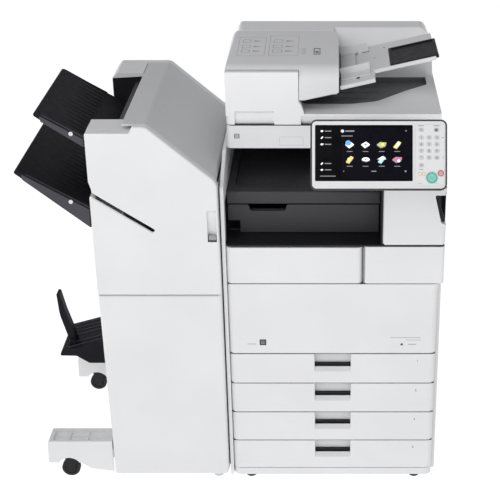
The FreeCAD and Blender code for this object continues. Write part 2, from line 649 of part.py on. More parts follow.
def control_panel():
    """Tilting operator panel: housing, touch screen, key sheet, two travelling keys, and its arm."""
    width, height, thick = PANEL_SIZE
    w, h = width / 2, height / 2
    housing = prism("XY", -thick, 0, rectangle(-w, w, -h, h, 14))
    housing = soften(housing, 3, lambda b: b.ZLength < 0.01 and b.ZMax > -0.01)
    sx, sy = SCREEN_OFFSET
    sw, sh = SCREEN_SIZE[0] / 2, SCREEN_SIZE[1] / 2
    kx, ky = KEY_OFFSET
    kw, kh = KEY_AREA[0] / 2, KEY_AREA[1] / 2
    housing = housing.cut(prism("XY", -5, 1, rectangle(sx - sw, sx + sw, sy - sh, sy + sh, 3)))
    housing = housing.cut(prism("XY", -1.5, 1, rectangle(kx - kw, kx + kw, ky - kh, ky + kh, 4)))
    keys = {"start_key": START_KEY, "stop_key": STOP_KEY}
    for x, y, radius in keys.values():
        housing = housing.cut(cylinder(Vector(x, y, -9), Vector(x, y, 2), radius + 1))
    neck = box(-40, 40, -20, 20, -thick - 12, -thick)
    barrel_z = -PANEL_PIVOT_BEHIND
    barrel = cylinder(Vector(-38, 0, barrel_z), Vector(38, 0, barrel_z), 9)
    strut = box(-38, 38, -7, 7, barrel_z, -thick)
    bore = cylinder(Vector(-41, 0, barrel_z), Vector(41, 0, barrel_z), 4.1)
    node("control_panel", panel_frame(join([housing, neck, strut, barrel]).cut(bore)))
    glass = prism("XY", -4.8, -0.4, rectangle(sx - sw + 0.3, sx + sw - 0.3, sy - sh + 0.3, sy + sh - 0.3, 2.7))
    node("touch_screen", panel_frame(glass))
    sheet = prism("XY", -1.5, -0.4, rectangle(kx - kw + 0.3, kx + kw - 0.3, ky - kh + 0.3, ky + kh - 0.3, 3.7))
    for x, y, radius in keys.values():
        sheet = sheet.cut(cylinder(Vector(x, y, -3), Vector(x, y, 2), radius + 1))
    node("key_sheet", panel_frame(sheet))
    for name, (x, y, radius) in keys.items():
        button = cylinder(Vector(x, y, -7), Vector(x, y, 1.2), radius)
        button = soften(button, 0.8, lambda b: b.ZMin > 1.0)
        node(name, panel_frame(button))
    pivot = panel_frame(Part.Vertex(0, 0, barrel_z)).Point
    pin = cylinder(pivot + Vector(-56, 0, 0), pivot + Vector(56, 0, 0), 4)
    cheeks = []
    for x0 in (-56, 41):
        cheeks.append(prism("YZ", pivot.x + x0, pivot.x + x0 + 15, [
            (pivot.y - 11, pivot.z + 11, 10), (pivot.y - 11, pivot.z - 8, 8), (-8, 962, 12),
            (READER_FRONT - 1, 962, 0), (READER_FRONT - 1, 986, 0), (10, 990, 14),
            (pivot.y + 14, pivot.z + 11, 10),
        ]))
    bridge = box(pivot.x - 42, pivot.x + 42, 20, READER_FRONT - 1, 964, 984)
    node("panel_bracket", join(cheeks + [bridge, pin]))


# ---- finisher -----------------------------------------------------------------------------------

def finisher_frame():
    """Steel base, two upright plates, cross bars, leg beams and the docking bracket."""
    parts = [
        box(FIN_LEFT + 20, FIN_RIGHT - 6, 12, FIN_BACK - 28, FIN_BOTTOM + 1, FIN_BOTTOM + 9),
        box(-540, FIN_RIGHT - 14, 44, 47, FIN_BOTTOM + 9, 880),
        box(-540, FIN_RIGHT - 14, 516, 519, FIN_BOTTOM + 9, 880),
        box(-540, -520, 47, 516, 480, 500),
        box(-330, -311, 47, 516, 480, 500),
        box(FIN_RIGHT - 4, -SIDE, 220, 400, 420, 480),
    ]
    for front in LEG_FRONTS:
        middle = front + LEG_Y / 2
        beam = box(-800, FIN_LEFT + 21, middle - 17, middle + 17, 96, 112)
        beam = beam.cut(cylinder(Vector(CASTER_X, middle, 90), Vector(CASTER_X, middle, 120), 6.1))
        post = box(FIN_LEFT + 21, FIN_LEFT + 40, middle - 16, middle + 16, FIN_BOTTOM + 9, 112)
        parts.append(join([beam, post]))
    parts += [screw_foot(-330, y, FIN_BOTTOM + 1) for y in (30, 500)]
    node("finisher_frame", *parts)


def finisher_legs():
    """Covers of the two floor legs, each arched over its caster, with a ribbed top recess."""
    covers = []
    for front in LEG_FRONTS:
        back = front + LEG_Y
        cover = prism("XZ", front, back, [
            (LEG_X[0], 62, 3), (LEG_X[0] + 3, LEG_TOP, 7), (LEG_X[1], LEG_TOP, 1), (LEG_X[1], 34, 1),
            (-690, 42, 12), (-718, 62, 8),
        ])
        hollow = box(LEG_X[0] + 5, LEG_X[1] + 1, front + 4, back - 4, 20, LEG_TOP - 18)
        hollow = hollow.common(prism("XZ", front, back, [
            (LEG_X[0] + 4, 20, 0), (LEG_X[0] + 4, 118, 0), (LEG_X[1] + 1, 118, 0), (LEG_X[1] + 1, 20, 0),
        ]))
        arch = cylinder(Vector(CASTER_X - 5, front - 1, 44), Vector(CASTER_X - 5, back + 1, 44), 34)
        recess = prism("XY", LEG_TOP - 10, LEG_TOP + 1, rectangle(-796, -652, front + 9, back - 9, 5))
        ribs = [box(x, x + 3, front + 8, back - 8, LEG_TOP - 11, LEG_TOP - 3) for x in (-752, -700)]
        rib_long = box(-797, -651, front + LEG_Y / 2 - 1.5, front + LEG_Y / 2 + 1.5, LEG_TOP - 11, LEG_TOP - 5)
        shell = cover.cut(hollow).cut(arch).cut(recess)
        covers.append(join([shell, rib_long] + ribs))
    node("finisher_legs", *covers)


def casters():
    """Front and rear swivel casters of the finisher."""
    for name, front in zip(("front", "rear"), LEG_FRONTS):
        y = front + LEG_Y / 2
        axle = Vector(CASTER_X + CASTER_TRAIL, y, CASTER_RADIUS)
        stem = cylinder(Vector(CASTER_X, y, 66), Vector(CASTER_X, y, 110), 6)
        plate = prism("XY", 60, 66, rectangle(CASTER_X - 22, CASTER_X + 14, y - 17, y + 17, 6))
        sides = [
            prism("XZ", y + side - 1.5, y + side + 1.5, [
                (CASTER_X - 20, 62, 0), (CASTER_X + 12, 62, 0), (CASTER_X + 2, 16, 8), (CASTER_X - 20, 20, 10),
            ])
            for side in (-14, 14)
        ]
        pin = cylinder(axle - Vector(0, 15, 0), axle + Vector(0, 15, 0), 3)
        node(f"caster_fork_{name}", join([stem, plate, pin] + sides))
        half = Vector(0, CASTER_WIDTH / 2, 0)
        wheel = tube(axle - half, axle + half, CASTER_RADIUS, 3.1)
        wheel = soften(wheel, 3, lambda b: b.XLength > 2 * CASTER_RADIUS - 0.1 and b.YLength < 0.1)
        groove = Part.makeTorus(15, 2.5, axle - half, Vector(0, 1, 0))
        wheel = wheel.cut(groove).cut(Part.makeTorus(15, 2.5, axle + half, Vector(0, 1, 0)))
        node(f"caster_wheel_{name}", wheel)


def finisher_profile(inset=0.0):
    """Front view of the finisher's upper part: level top, long slope and upright right side."""
    return [
        (FIN_LEFT + inset, FIN_SPLIT, 0), (FIN_LEFT + inset, 888, 3), (FIN_LEFT + 9 + inset, 900, 3),
        (FIN_LEFT + inset, 932, 3), (FIN_LEFT + inset, FIN_SHELF - inset, 3),
        (-516, FIN_SHELF - inset, 0), (-506, FIN_TOP - inset, 3), (FIN_BEND_X, FIN_TOP - inset, 26),
        (FIN_RIGHT - inset - 8, FIN_SLOPE_END + 6 - inset, 10), (FIN_RIGHT - inset, FIN_SLOPE_END - 10, 4),
        (FIN_RIGHT - inset, FIN_SPLIT, 0),
    ]


def finisher_door():
    """Upper front door: hinged at the left, with the slanting slit and the upright grip."""
    depth = 24.0
    y0, y1 = FIN_FRONT, FIN_FRONT + depth
    outer = prism("XZ", y0, y1, finisher_profile())
    outer = soften(outer, 5, lambda b: b.YMax < y0 + 0.01 and b.ZMax > FIN_SPLIT + 1 and b.XMax > -500)
    inner = prism("XZ", y0 + WALL, y1 + 1, [
        (FIN_LEFT + 13, FIN_SPLIT + WALL, 0), (FIN_LEFT + 13, FIN_SHELF - 5, 0), (-510, FIN_SHELF - 5, 0),
        (-504, FIN_TOP - 6, 0), (FIN_BEND_X - 2, FIN_TOP - 6, 20), (FIN_RIGHT - 12, FIN_SLOPE_END - 4, 6),
        (FIN_RIGHT - 6, FIN_SLOPE_END - 20, 4), (FIN_RIGHT - 6, FIN_SPLIT + WALL, 0),
    ])
    slit_start, slit_end = (-640.0, 909.0), (-465.0, 793.0)
    run = math.hypot(slit_end[0] - slit_start[0], slit_end[1] - slit_start[1])
    across = ((slit_end[1] - slit_start[1]) / run * 5.0, -(slit_end[0] - slit_start[0]) / run * 5.0)
    slit = prism("XZ", y0 - 1, y1 + 1, [
        (slit_start[0] - across[0], slit_start[1] - across[1], 0),
        (slit_end[0] - across[0], slit_end[1] - across[1], 4.9),
        (slit_end[0] + across[0], slit_end[1] + across[1], 4.9),
        (slit_start[0] + across[0], slit_start[1] + across[1], 0),
    ])
    grip_box = box(-331, -300.2, y0 + 1, y1, 757, 856)
    grip = prism("YZ", -327, -303, [
        (y0 - 1, 852, 0), (y0 + 6, 846, 6), (y0 + 18, 770, 6), (y0 + 18, 762, 2), (y0 - 1, 762, 0),
    ])
    node("finisher_door", join([outer.cut(inner), grip_box]).cut(slit).cut(grip))


def finisher_lower_cover():
    """Fixed lower front cover."""
    y0, y1 = FIN_FRONT, FIN_FRONT + 28
    cover = prism("XZ", y0, y1, [
        (FIN_LEFT + 6, FIN_BOTTOM, 6), (FIN_RIGHT, FIN_BOTTOM, 12), (FIN_RIGHT, FIN_SPLIT - GAP - 1, 2),
        (FIN_LEFT, FIN_SPLIT - GAP - 1, 2),
    ])
    cover = soften(cover, 8, lambda b: b.YMax < y0 + 0.01 and b.XMin > FIN_RIGHT - 1)
    inner = box(FIN_LEFT + 10, FIN_RIGHT - 9, y0 + WALL, y1 + 1, FIN_BOTTOM + 6, FIN_SPLIT - 8)
    node("finisher_lower_cover", cover.cut(inner))


def finisher_top_cover():
    """Sheet-like top cover: level part and long slope to the right, hinged at its low right edge."""
    y0, y1 = FIN_FRONT + 26, FIN_BACK - 26
    thick = 6.0
    leaf = prism("XZ", y0, y1, [
        (EXIT_X, FIN_TOP, 3), (FIN_BEND_X, FIN_TOP, 26), (FIN_RIGHT - 8, FIN_SLOPE_END + 6, 10),
        (FIN_RIGHT - 2, FIN_SLOPE_END - 8, 3), (FIN_RIGHT - 2 - thick, FIN_SLOPE_END - 8, 1),
        (FIN_RIGHT - 14, FIN_SLOPE_END + 2, 6), (FIN_BEND_X - 2, FIN_TOP - thick, 22),
        (EXIT_X, FIN_TOP - thick, 1),
    ])
    ribs = [
        prism("XZ", y, y + 3, [
            (EXIT_X + 6, FIN_TOP - 5, 0), (FIN_BEND_X - 4, FIN_TOP - 5, 0),
            (FIN_RIGHT - 24, FIN_SLOPE_END + 6, 0), (FIN_RIGHT - 30, FIN_SLOPE_END - 2, 0),
            (FIN_BEND_X - 8, FIN_TOP - 18, 0), (EXIT_X + 6, FIN_TOP - 14, 0),
        ])
        for y in (120, 290, 460)
    ]
    node("finisher_top_cover", join([leaf] + ribs))


def finisher_side_cover():
    """Left-hand cover: front column with the shelf, rear column, and the wall below the stacker."""
    y_front, y_back = FIN_FRONT + 29, FIN_BACK - 26
    x0, x1 = FIN_LEFT, FENCE_X + 12
    front = box(x0, x1, y_front, EXIT_FRONT, FIN_SPLIT, FIN_SHELF)
    front = front.cut(
        box(x0 + WALL, x1 - WALL, y_front - 1, EXIT_FRONT - WALL, FIN_SPLIT - 1, FIN_SHELF - WALL)
    )
    shelf = box(x1 - 4, -516, y_front, EXIT_FRONT, FIN_SHELF - WALL, FIN_SHELF)
    rear = prism("XZ", EXIT_BACK, y_back, [
        (x0, FIN_SPLIT, 0), (x0, FIN_TOP - 16, 2), (x0 + 14, FIN_TOP, 6), (EXIT_X - 1, FIN_TOP, 0),
        (EXIT_X - 1, FIN_TOP - 30, 0), (x1, FIN_TOP - 30, 0), (x1, FIN_SPLIT, 0),
    ])
    rear = rear.cut(box(x0 + WALL, x1 - WALL, EXIT_BACK + WALL, y_back + 1, FIN_SPLIT - 1, FIN_TOP - 34))
    lower = box(x0 + 2, x0 + 2 + WALL, y_front, y_back, FIN_BOTTOM, FIN_SPLIT)
    lower = lower.cut(box(x0 - 1, x0 + 9, 214, 366, 262, 352))
    ties = [box(x0 + 2, x0 + 5, y_front, y_front + 50, FIN_SPLIT - 20, FIN_SPLIT + 20),
            box(x0 + 2, x0 + 5, y_back - 50, y_back, FIN_SPLIT - 20, FIN_SPLIT + 20)]
    ledge = box(x0 + 2, x1, EXIT_FRONT - 3, EXIT_BACK + 3, FIN_SPLIT - 3, FIN_SPLIT)
    legs = [box(x0 - 1, x0 + 9, f + LEG_Y / 2 - 20, f + LEG_Y / 2 + 20, 94, 114) for f in LEG_FRONTS]
    body = join([front, shelf, rear, lower, ledge] + ties).cut(Part.makeCompound(legs))
    node("finisher_side_cover", body)


def tray_wall():
    """Dark fence behind the stacked sheets, with the two slots that the tray arms run in."""
    x0 = FENCE_X
    wall = box(x0, x0 + 4, EXIT_FRONT + 0.5, EXIT_BACK - 0.5, FIN_SPLIT, 1052)
    slots = [box(x0 - 1, x0 + 5, y, y + 12, FIN_SPLIT + 20, 1010) for y in (170, 350)]
    lip = prism("XZ", EXIT_FRONT + 0.5, EXIT_BACK - 0.5, [
        (x0, 1040, 0), (x0, 1052, 2), (-500, 1064, 4), (-500, 1056, 0), (x0 + 10, 1040, 0),
    ])
    node("tray_wall", join([wall, lip]).cut(Part.makeCompound(slots)))


def finisher_rear_cover():
    """Rear and right-hand cover of the finisher, one folded shell."""
    y1 = FIN_BACK
    profile = [
        (FIN_LEFT, FIN_BOTTOM, 4), (FIN_LEFT, FIN_TOP - 16, 4), (FIN_LEFT + 14, FIN_TOP, 6),
        (FIN_BEND_X, FIN_TOP, 26), (FIN_RIGHT - 8, FIN_SLOPE_END + 6, 10), (FIN_RIGHT, FIN_SLOPE_END - 10, 4),
        (FIN_RIGHT, FIN_BOTTOM, 4),
    ]
    rear = prism("XZ", y1 - 25, y1, profile)
    rear = rear.cut(box(FIN_LEFT + WALL, FIN_RIGHT - WALL, y1 - 26, y1 - WALL, FIN_BOTTOM + WALL, 915))
    side = box(FIN_RIGHT - 3, FIN_RIGHT, 12, y1 - 24, FIN_BOTTOM, 905)
    inlet = box(FIN_RIGHT - 5, FIN_RIGHT + 1, 168, 472, 870, 900)
    link = box(FIN_RIGHT - 5, FIN_RIGHT + 1, 218, 402, 418, 482)
    vents = [
        prism("XZ", y1 - 6, y1 + 1, rectangle(-420, -340, 120 + 16 * k, 126 + 16 * k, 3)) for k in range(6)
    ]
    node("finisher_rear_cover", join([rear, side]).cut(Part.makeCompound([inlet, link] + vents)))


def stack_outline(x_root, z_root, x_tip, skirt_root, skirt_tip, thick):
    """Front view of a stacking tray: sloping plate over a wedge-shaped skirt."""
    rise = math.tan(STACK_SLOPE)
    z_tip = z_root + (x_root - x_tip) * rise
    return [
        (x_root, z_root - skirt_root, 2), (x_root, z_root, 2), (x_tip + 6, z_tip, 5),
        (x_tip, z_tip - thick * 0.6, 5), (x_tip + 10, z_tip - skirt_tip, 4),
    ]


def stacking_trays():
    """Upper and lower output trays of the finisher; both climb and sink on the tray wall."""
    for name, z_root, x_tip, y1, skirt in (
        ("upper_tray", 1042.0, -757.0, 375.0, 24.0), ("lower_tray", 848.0, -822.0, 400.0, 54.0),
    ):
        x_root = FIN_LEFT - 5
        y0 = 0.0
        rise = math.tan(STACK_SLOPE)
        body = prism("XZ", y0, y1, stack_outline(x_root, z_root, x_tip, skirt, 16, 14))
        under = prism("XZ", y0 + 5, y1 - 5, [
            (x_root + 1, z_root - 80, 0), (x_root + 1, z_root - 7, 0),
            (x_tip + 16, z_root + (x_root - x_tip - 16) * rise - 7, 0), (x_tip + 16, z_root - 80, 0),
        ])
        tongue = prism("XZ", 110, y1, [
            (x_root - 2, z_root - 8, 0), (x_root - 2, z_root, 0),
            (FENCE_X - 3, z_root - (FENCE_X - 3 - x_root) * rise, 0),
            (FENCE_X - 3, z_root - (FENCE_X - 3 - x_root) * rise - 8, 0),
        ])
        arms = [box(x_root - 40, FENCE_X + 12, y, y + 10, z_root - 62, z_root - 52) for y in (171, 351)]
        gussets = [
            prism("XZ", y, y + 10, [
                (x_root - 40, z_root - 53, 0), (x_root - 40, z_root + 10, 0), (FENCE_X - 3, z_root - 36, 0),
                (FENCE_X - 3, z_root - 53, 0),
            ])
            for y in (171, 351)
        ]
        plan = prism("XY", z_root - 90, z_root + 130, [
            (x_tip, y0, 6), (FENCE_X + 20, y0, 0), (FENCE_X + 20, y1, 0), (x_tip, y1, 20),
        ])
        node(name, join([body.cut(under), tongue] + arms + gussets).common(plan))


def booklet_tray():
    """Small tray for stitched booklets low on the left, with its hinged stop flap."""
    x_root = FIN_LEFT - 1
    y0, y1 = 205.0, 375.0
    body = prism("XZ", y0, y1, [
        (x_root, 266, 0), (x_root, 352, 0), (-796, 304, 4), (-800, 291, 4), (-752, 290, 10), (-716, 266, 14),
    ])
    under = prism("XZ", y0 + 5, y1 - 5, [
        (x_root + 1, 240, 0), (x_root + 1, 346, 0), (-775, 304, 0), (-775, 240, 0),
    ])
    fin = prism("XZ", y0, y0 + 5, [(x_root, 345, 0), (x_root, 392, 2), (-664, 338, 2)])
    fin_back = prism("XZ", y1 - 5, y1, [(x_root, 345, 0), (x_root, 392, 2), (-664, 338, 2)])
    hook = box(x_root - 4, x_root + 10, 220, 360, 296, 349)
    px, pz = FLAP_PIVOT
    ears = [
        prism("XZ", y, y + 6, [(px - 12, 300, 0), (px - 7, pz + 6, 6), (px + 7, pz + 6, 6), (px + 14, 300, 0)])
        for y in (229, 267)
    ]
    pin = cylinder(Vector(px, 230, pz), Vector(px, 272, pz), 2)
    node("booklet_tray", join([body.cut(under), fin, fin_back, hook, pin] + ears))
    blade = prism("XZ", 237, 265, [
        (px - 9, pz, 2), (-781, 348, 60), (-797, 410, 160), (-801, 478, 5), (-792, 482, 5), (-779, 420, 160),
        (-760, 352, 60), (px + 8, pz, 2),
    ])
    blade = blade.fuse(cylinder(Vector(px, 237, pz), Vector(px, 265, pz), 7))
    node("booklet_flap", blade.cut(cylinder(Vector(px, 236, pz), Vector(px, 266, pz), 2.3)))


def finisher_inside():
    """Stapler on its rails and the exit roller behind the stacker."""
    bed = prism("XZ", 150, 230, [
        (-500, 960, 6), (-500, 1010, 6), (-430, 1010, 10), (-400, 985, 10), (-400, 960, 6),
    ])
    jaw = box(-520, -498, 170, 210, 965, 975).fuse(box(-520, -498, 170, 210, 985, 998))
    bores = [cylinder(Vector(x, 149, 972), Vector(x, 231, 972), 5.1) for x in (-480, -420)]
    node("stapler_unit", join([bed, jaw]).cut(Part.makeCompound(bores)))
    roller = cylinder(Vector(-515, 70, 1038), Vector(-515, 470, 1038), 5)
    tyres = [cylinder(Vector(-515, y, 1038), Vector(-515, y + 40, 1038), 12) for y in (140, 245, 350)]
    node("exit_roller", join([roller] + tyres))


def stapler_rails():
    """Two rods between the upright plates, part of the finisher's frame."""
    rods = [cylinder(Vector(x, 47, 972), Vector(x, 516, 972), 5) for x in (-480, -420)]
    ends = [box(-500, -400, y, y + 3, 880, 985) for y in (44, 516)]
    arms = [
        box(-527, -503, y, y + 4, 874, 1050).cut(
            cylinder(Vector(-515, y - 1, 1038), Vector(-515, y + 5, 1038), 5.3)
        )
        for y in (74, 462)
    ]
    ties = [box(-527, -503, 47, 78, 866, 874), box(-527, -503, 462, 516, 866, 874)]
    NODES["finisher_frame"] += rods + ends + arms + ties


# ---- build and export ---------------------------------------------------------------------------

def build():
    """Makes every node in the machine frame."""
    for make in (
        main_frame, base_plinth, levelling_feet, side_covers, rear_cover, power_inlet, right_front_cover,
        output_liner, pass_unit, imaging_unit, front_doors, toner_bottle, fuser_roller, right_door,
        bypass_tray, reader, lid_base, feeder_cover, feed_roller, document_tray, control_panel,
        finisher_frame, stapler_rails, finisher_legs, casters, finisher_door, finisher_lower_cover,
        finisher_top_cover, finisher_side_cover, tray_wall, finisher_rear_cover, stacking_trays,
        booklet_tray, finisher_inside, pass_unit_flap,
    ):
        make()
    for index in range(CASSETTE_COUNT):
        cassette(index)


def pass_unit_flap():
    """Flap on the front of the transport unit, hinged at its lower edge, with a hand notch."""
    x0, x1 = -HALF + 2, 125.0
    flap = pan(x0, x1, 80, 98, 746, 826, 3)
    notch = prism("XZ", 79, 99, [
        (-232, 828, 0), (-223, 822, 4), (-221, 808, 6), (-126, 808, 6), (-124, 822, 4), (-115, 828, 0),
    ])
    floor = box(-227, -120, 80.5, 98, 804, 808)
    cut_out = box(x0 - 1, -248, 79, 99, 745, 781)
    node("pass_unit_flap", join([flap, floor]).cut(notch).cut(cut_out))


def origin_shift():
    """Offset that puts the bounding box's bottom centre at the origin."""
    boxes = [solid.BoundBox for solids in NODES.values() for solid in solids]
    x = (min(b.XMin for b in boxes) + max(b.XMax for b in boxes)) / 2
    y = (min(b.YMin for b in boxes) + max(b.YMax for b in boxes)) / 2
    return Vector(-x, -y, 0)


def export():
    """Writes one STEP file per node."""
    os.makedirs("parts", exist_ok=True)
    shift = origin_shift()
    for name, solids in NODES.items():
        shape = Part.makeCompound(solids)
        shape.translate(shift)
        shape.exportStep(f"parts/{name}.step")
    print(f"{len(NODES)} nodes, shifted by ({shift.x:.3f}, {shift.y:.3f}) mm")


build()
export()
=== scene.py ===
import math

import bmesh
import bpy
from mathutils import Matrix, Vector


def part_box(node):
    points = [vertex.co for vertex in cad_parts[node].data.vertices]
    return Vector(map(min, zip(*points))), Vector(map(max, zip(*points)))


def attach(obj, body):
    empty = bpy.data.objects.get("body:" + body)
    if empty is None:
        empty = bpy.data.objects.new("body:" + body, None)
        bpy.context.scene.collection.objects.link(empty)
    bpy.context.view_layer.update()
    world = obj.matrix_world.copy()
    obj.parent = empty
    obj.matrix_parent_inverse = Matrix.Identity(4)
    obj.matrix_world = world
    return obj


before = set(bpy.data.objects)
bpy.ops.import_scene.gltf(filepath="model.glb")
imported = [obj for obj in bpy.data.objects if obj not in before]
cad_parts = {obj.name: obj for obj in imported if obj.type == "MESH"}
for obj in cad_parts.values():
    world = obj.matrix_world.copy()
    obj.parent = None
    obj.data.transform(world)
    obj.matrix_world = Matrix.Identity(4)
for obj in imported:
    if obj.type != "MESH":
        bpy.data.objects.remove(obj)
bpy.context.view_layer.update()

# ---- places -------------------------------------------------------------------------------------
# Lengths below are in millimetres from the machine's own origin: X from the copier's middle, Y from
# the plane of the cassette fronts, Z from the floor. The steel frame's box gives the offset of that
# origin in the row frame.

MM = 0.001
FRAME_FRONT = 36
BASE_LOW, BASE_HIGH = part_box("main_frame")
SHIFT = Vector(((BASE_LOW.x + BASE_HIGH.x) / 2, BASE_LOW.y - FRAME_FRONT * MM, 0))

# The copier's outer faces, the floor of the lid's output bed, and the spacing of the cassettes.
READER_FRONT = 130
READER_TOP = 1031
COPIER_BACK = 585
COPIER_RIGHT = 293
BED_TOP = 1046
CASSETTE_BASE = 40
CASSETTE_PITCH = 94
CASSETTE_HEIGHT = 91.5

# The feeder cover's top, which rises from its front edge to its back edge.
HOOD_TOP = 1186
HOOD_RISE = 11
HOOD_DEPTH = 325

# The finisher's front and back, and as X or (X, Z) where its trays start and its wheels turn.
FINISHER_FRONT = -20
FINISHER_BACK = 562
STACK_ROOT = -632
STACK_SLOPE = math.radians(30)
BOOKLET_ROOT = (-628, 352)
BOOKLET_TIP = (-796, 304)
WHEEL_CENTRE = (-756, 26)

# The document tray's hinge as (X, Z), its upper face above that, and its slope.
DOCUMENT_ROOT = (21, 1123.5)
DOCUMENT_FACE = 10
DOCUMENT_SLOPE = math.radians(13)

PANEL_CENTRE = (113, -119, 1044)
PANEL_TILT = math.radians(25)

# Lowest and highest level of printed and raised marks, from the face that carries them.
PRINTED = (-0.05, 0.12)
RAISED = (-0.05, 0.15)
HOOD_PRINTED = (0.02, 0.18)


def at(x, y, z):
    """Point of the row frame, in metres, from millimetres in the machine's frame."""
    return Vector((x * MM, y * MM, z * MM)) + SHIFT


def on_panel(x, y, z):
    """Point given on the tilted operator panel: right, up the panel, and out of it."""
    turn = math.pi / 2 - PANEL_TILT
    return at(
        PANEL_CENTRE[0] + x,
        PANEL_CENTRE[1] + y * math.cos(turn) - z * math.sin(turn),
        PANEL_CENTRE[2] + y * math.sin(turn) + z * math.cos(turn),
    )


# ---- materials ----------------------------------------------------------------------------------

SPARK_GRAIN = 1100  # grains per metre in moulded plastic


def nodes_of(name):
    """A new node material with its tree, shader and a texture-coordinate node."""
    material = bpy.data.materials.new(name)
    material.use_nodes = True
    tree = material.node_tree
    shader = tree.nodes["Principled BSDF"]
    coordinates = tree.nodes.new("ShaderNodeTexCoord")
    return material, tree, shader, coordinates.outputs["Object"]


def noise(tree, vector, scale, detail, stretch=None):
    """Noise texture's value output, at a scale in features per metre."""
    if stretch is not None:
        mapping = tree.nodes.new("ShaderNodeMapping")
        mapping.inputs["Scale"].default_value = stretch
        tree.links.new(vector, mapping.inputs["Vector"])
        vector = mapping.outputs["Vector"]
    texture = tree.nodes.new("ShaderNodeTexNoise")
    texture.inputs["Scale"].default_value = scale
    texture.inputs["Detail"].default_value = detail
    tree.links.new(vector, texture.inputs["Vector"])
    return texture.outputs["Fac"]


def ramp(tree, value, stops):
    """Colour ramp's output for a value, from (position, colour) stops."""
    node = tree.nodes.new("ShaderNodeValToRGB")
    elements = node.color_ramp.elements
    while len(elements) < len(stops):
        elements.new(0.5)
    for element, (position, colour) in zip(elements, stops):
        element.position = position
        element.color = (*colour, 1.0)
    tree.links.new(value, node.inputs["Fac"])
    return node.outputs["Color"]


def spread(tree, value, low, high):
    """Maps a noise value's middle range to low..high."""
    node = tree.nodes.new("ShaderNodeMapRange")
    node.inputs["From Min"].default_value = 0.3
    node.inputs["From Max"].default_value = 0.7
    node.inputs["To Min"].default_value = low
    node.inputs["To Max"].default_value = high
    tree.links.new(value, node.inputs["Value"])
    return node.outputs["Result"]


def bump(tree, shader, heights):
    """Chains bump nodes for (height value, strength, distance in metres)."""
    normal = None
    for value, strength, distance in heights:
        node = tree.nodes.new("ShaderNodeBump")
        node.inputs["Strength"].default_value = strength
        node.inputs["Distance"].default_value = distance
        tree.links.new(value, node.inputs["Height"])
        if normal is not None:
            tree.links.new(normal, node.inputs["Normal"])
        normal = node.outputs["Normal"]
    tree.links.new(normal, shader.inputs["Normal"])


def shade(colour, amount):
    """Colour with its value scaled."""
    return tuple(max(0.0, min(1.0, c * amount)) for c in colour)


def moulded(name, colour, rough, depth=0.10, spreading=0.05, specular=0.45):
    """Injection-moulded plastic: spark-eroded grain, slight sink waviness, faint handling marks."""
    material, tree, shader, vector = nodes_of(name)
    tone = noise(tree, vector, 5, 3)
    scuffs = noise(tree, vector, 60, 5, (1, 1, 0.3))
    tree.links.new(
        ramp(tree, tone, [(0.3, shade(colour, 1 - spreading)), (0.7, colour)]), shader.inputs["Base Color"]
    )
    tree.links.new(spread(tree, scuffs, rough - 0.05, rough + 0.06), shader.inputs["Roughness"])
    shader.inputs["Specular IOR Level"].default_value = specular
    bump(tree, shader, [
        (noise(tree, vector, SPARK_GRAIN, 2), depth, 0.0004),
        (noise(tree, vector, 14, 1), 0.05, 0.002),
    ])
    return material


def sheet_metal(name, colour, rough, along):
    """Zinc-plated or brushed steel, with its brush marks along one axis."""
    material, tree, shader, vector = nodes_of(name)
    marks = noise(tree, vector, 220, 4, along)
    spangle = noise(tree, vector, 40, 2)
    tree.links.new(
        ramp(tree, spangle, [(0.3, shade(colour, 0.88)), (0.7, colour)]), shader.inputs["Base Color"]
    )
    tree.links.new(spread(tree, marks, rough - 0.08, rough + 0.1), shader.inputs["Roughness"])
    shader.inputs["Metallic"].default_value = 1.0
    bump(tree, shader, [(marks, 0.12, 0.0003)])
    return material


def rubber(name, colour):
    """Matt rubber with fine grain and dust in the texture."""
    material, tree, shader, vector = nodes_of(name)
    dust = noise(tree, vector, 90, 5)
    tree.links.new(
        ramp(tree, dust, [(0.35, colour), (0.75, shade(colour, 1.9))]), shader.inputs["Base Color"]
    )
    tree.links.new(spread(tree, dust, 0.62, 0.82), shader.inputs["Roughness"])
    shader.inputs["Specular IOR Level"].default_value = 0.3
    bump(tree, shader, [(noise(tree, vector, 1500, 2), 0.15, 0.0003)])
    return material


def glossy(name, colour, rough, glow=0.0, specular=0.5):
    """Smooth or coated plastic; glow makes a lit display colour."""
    material, tree, shader, vector = nodes_of(name)
    smear = noise(tree, vector, 35, 4)
    shades = ramp(tree, smear, [(0.3, shade(colour, 0.93)), (0.7, colour)])
    tree.links.new(shades, shader.inputs["Base Color"])
    tree.links.new(spread(tree, smear, rough * 0.7, rough * 1.4), shader.inputs["Roughness"])
    shader.inputs["Specular IOR Level"].default_value = specular
    if glow > 0:
        tree.links.new(shades, shader.inputs["Emission Color"])
        shader.inputs["Emission Strength"].default_value = glow
    bump(tree, shader, [(noise(tree, vector, 400, 2), 0.03, 0.0002)])
    return material


def clear_glass(name, colour):
    """Float glass of the scanner windows."""
    material, tree, shader, vector = nodes_of(name)
    film = noise(tree, vector, 25, 4)
    tree.links.new(
        ramp(tree, film, [(0.3, shade(colour, 0.95)), (0.7, colour)]), shader.inputs["Base Color"]
    )
    tree.links.new(spread(tree, film, 0.02, 0.07), shader.inputs["Roughness"])
    shader.inputs["Transmission Weight"].default_value = 0.9
    shader.inputs["IOR"].default_value = 1.5
    bump(tree, shader, [(film, 0.02, 0.0005)])
    return material


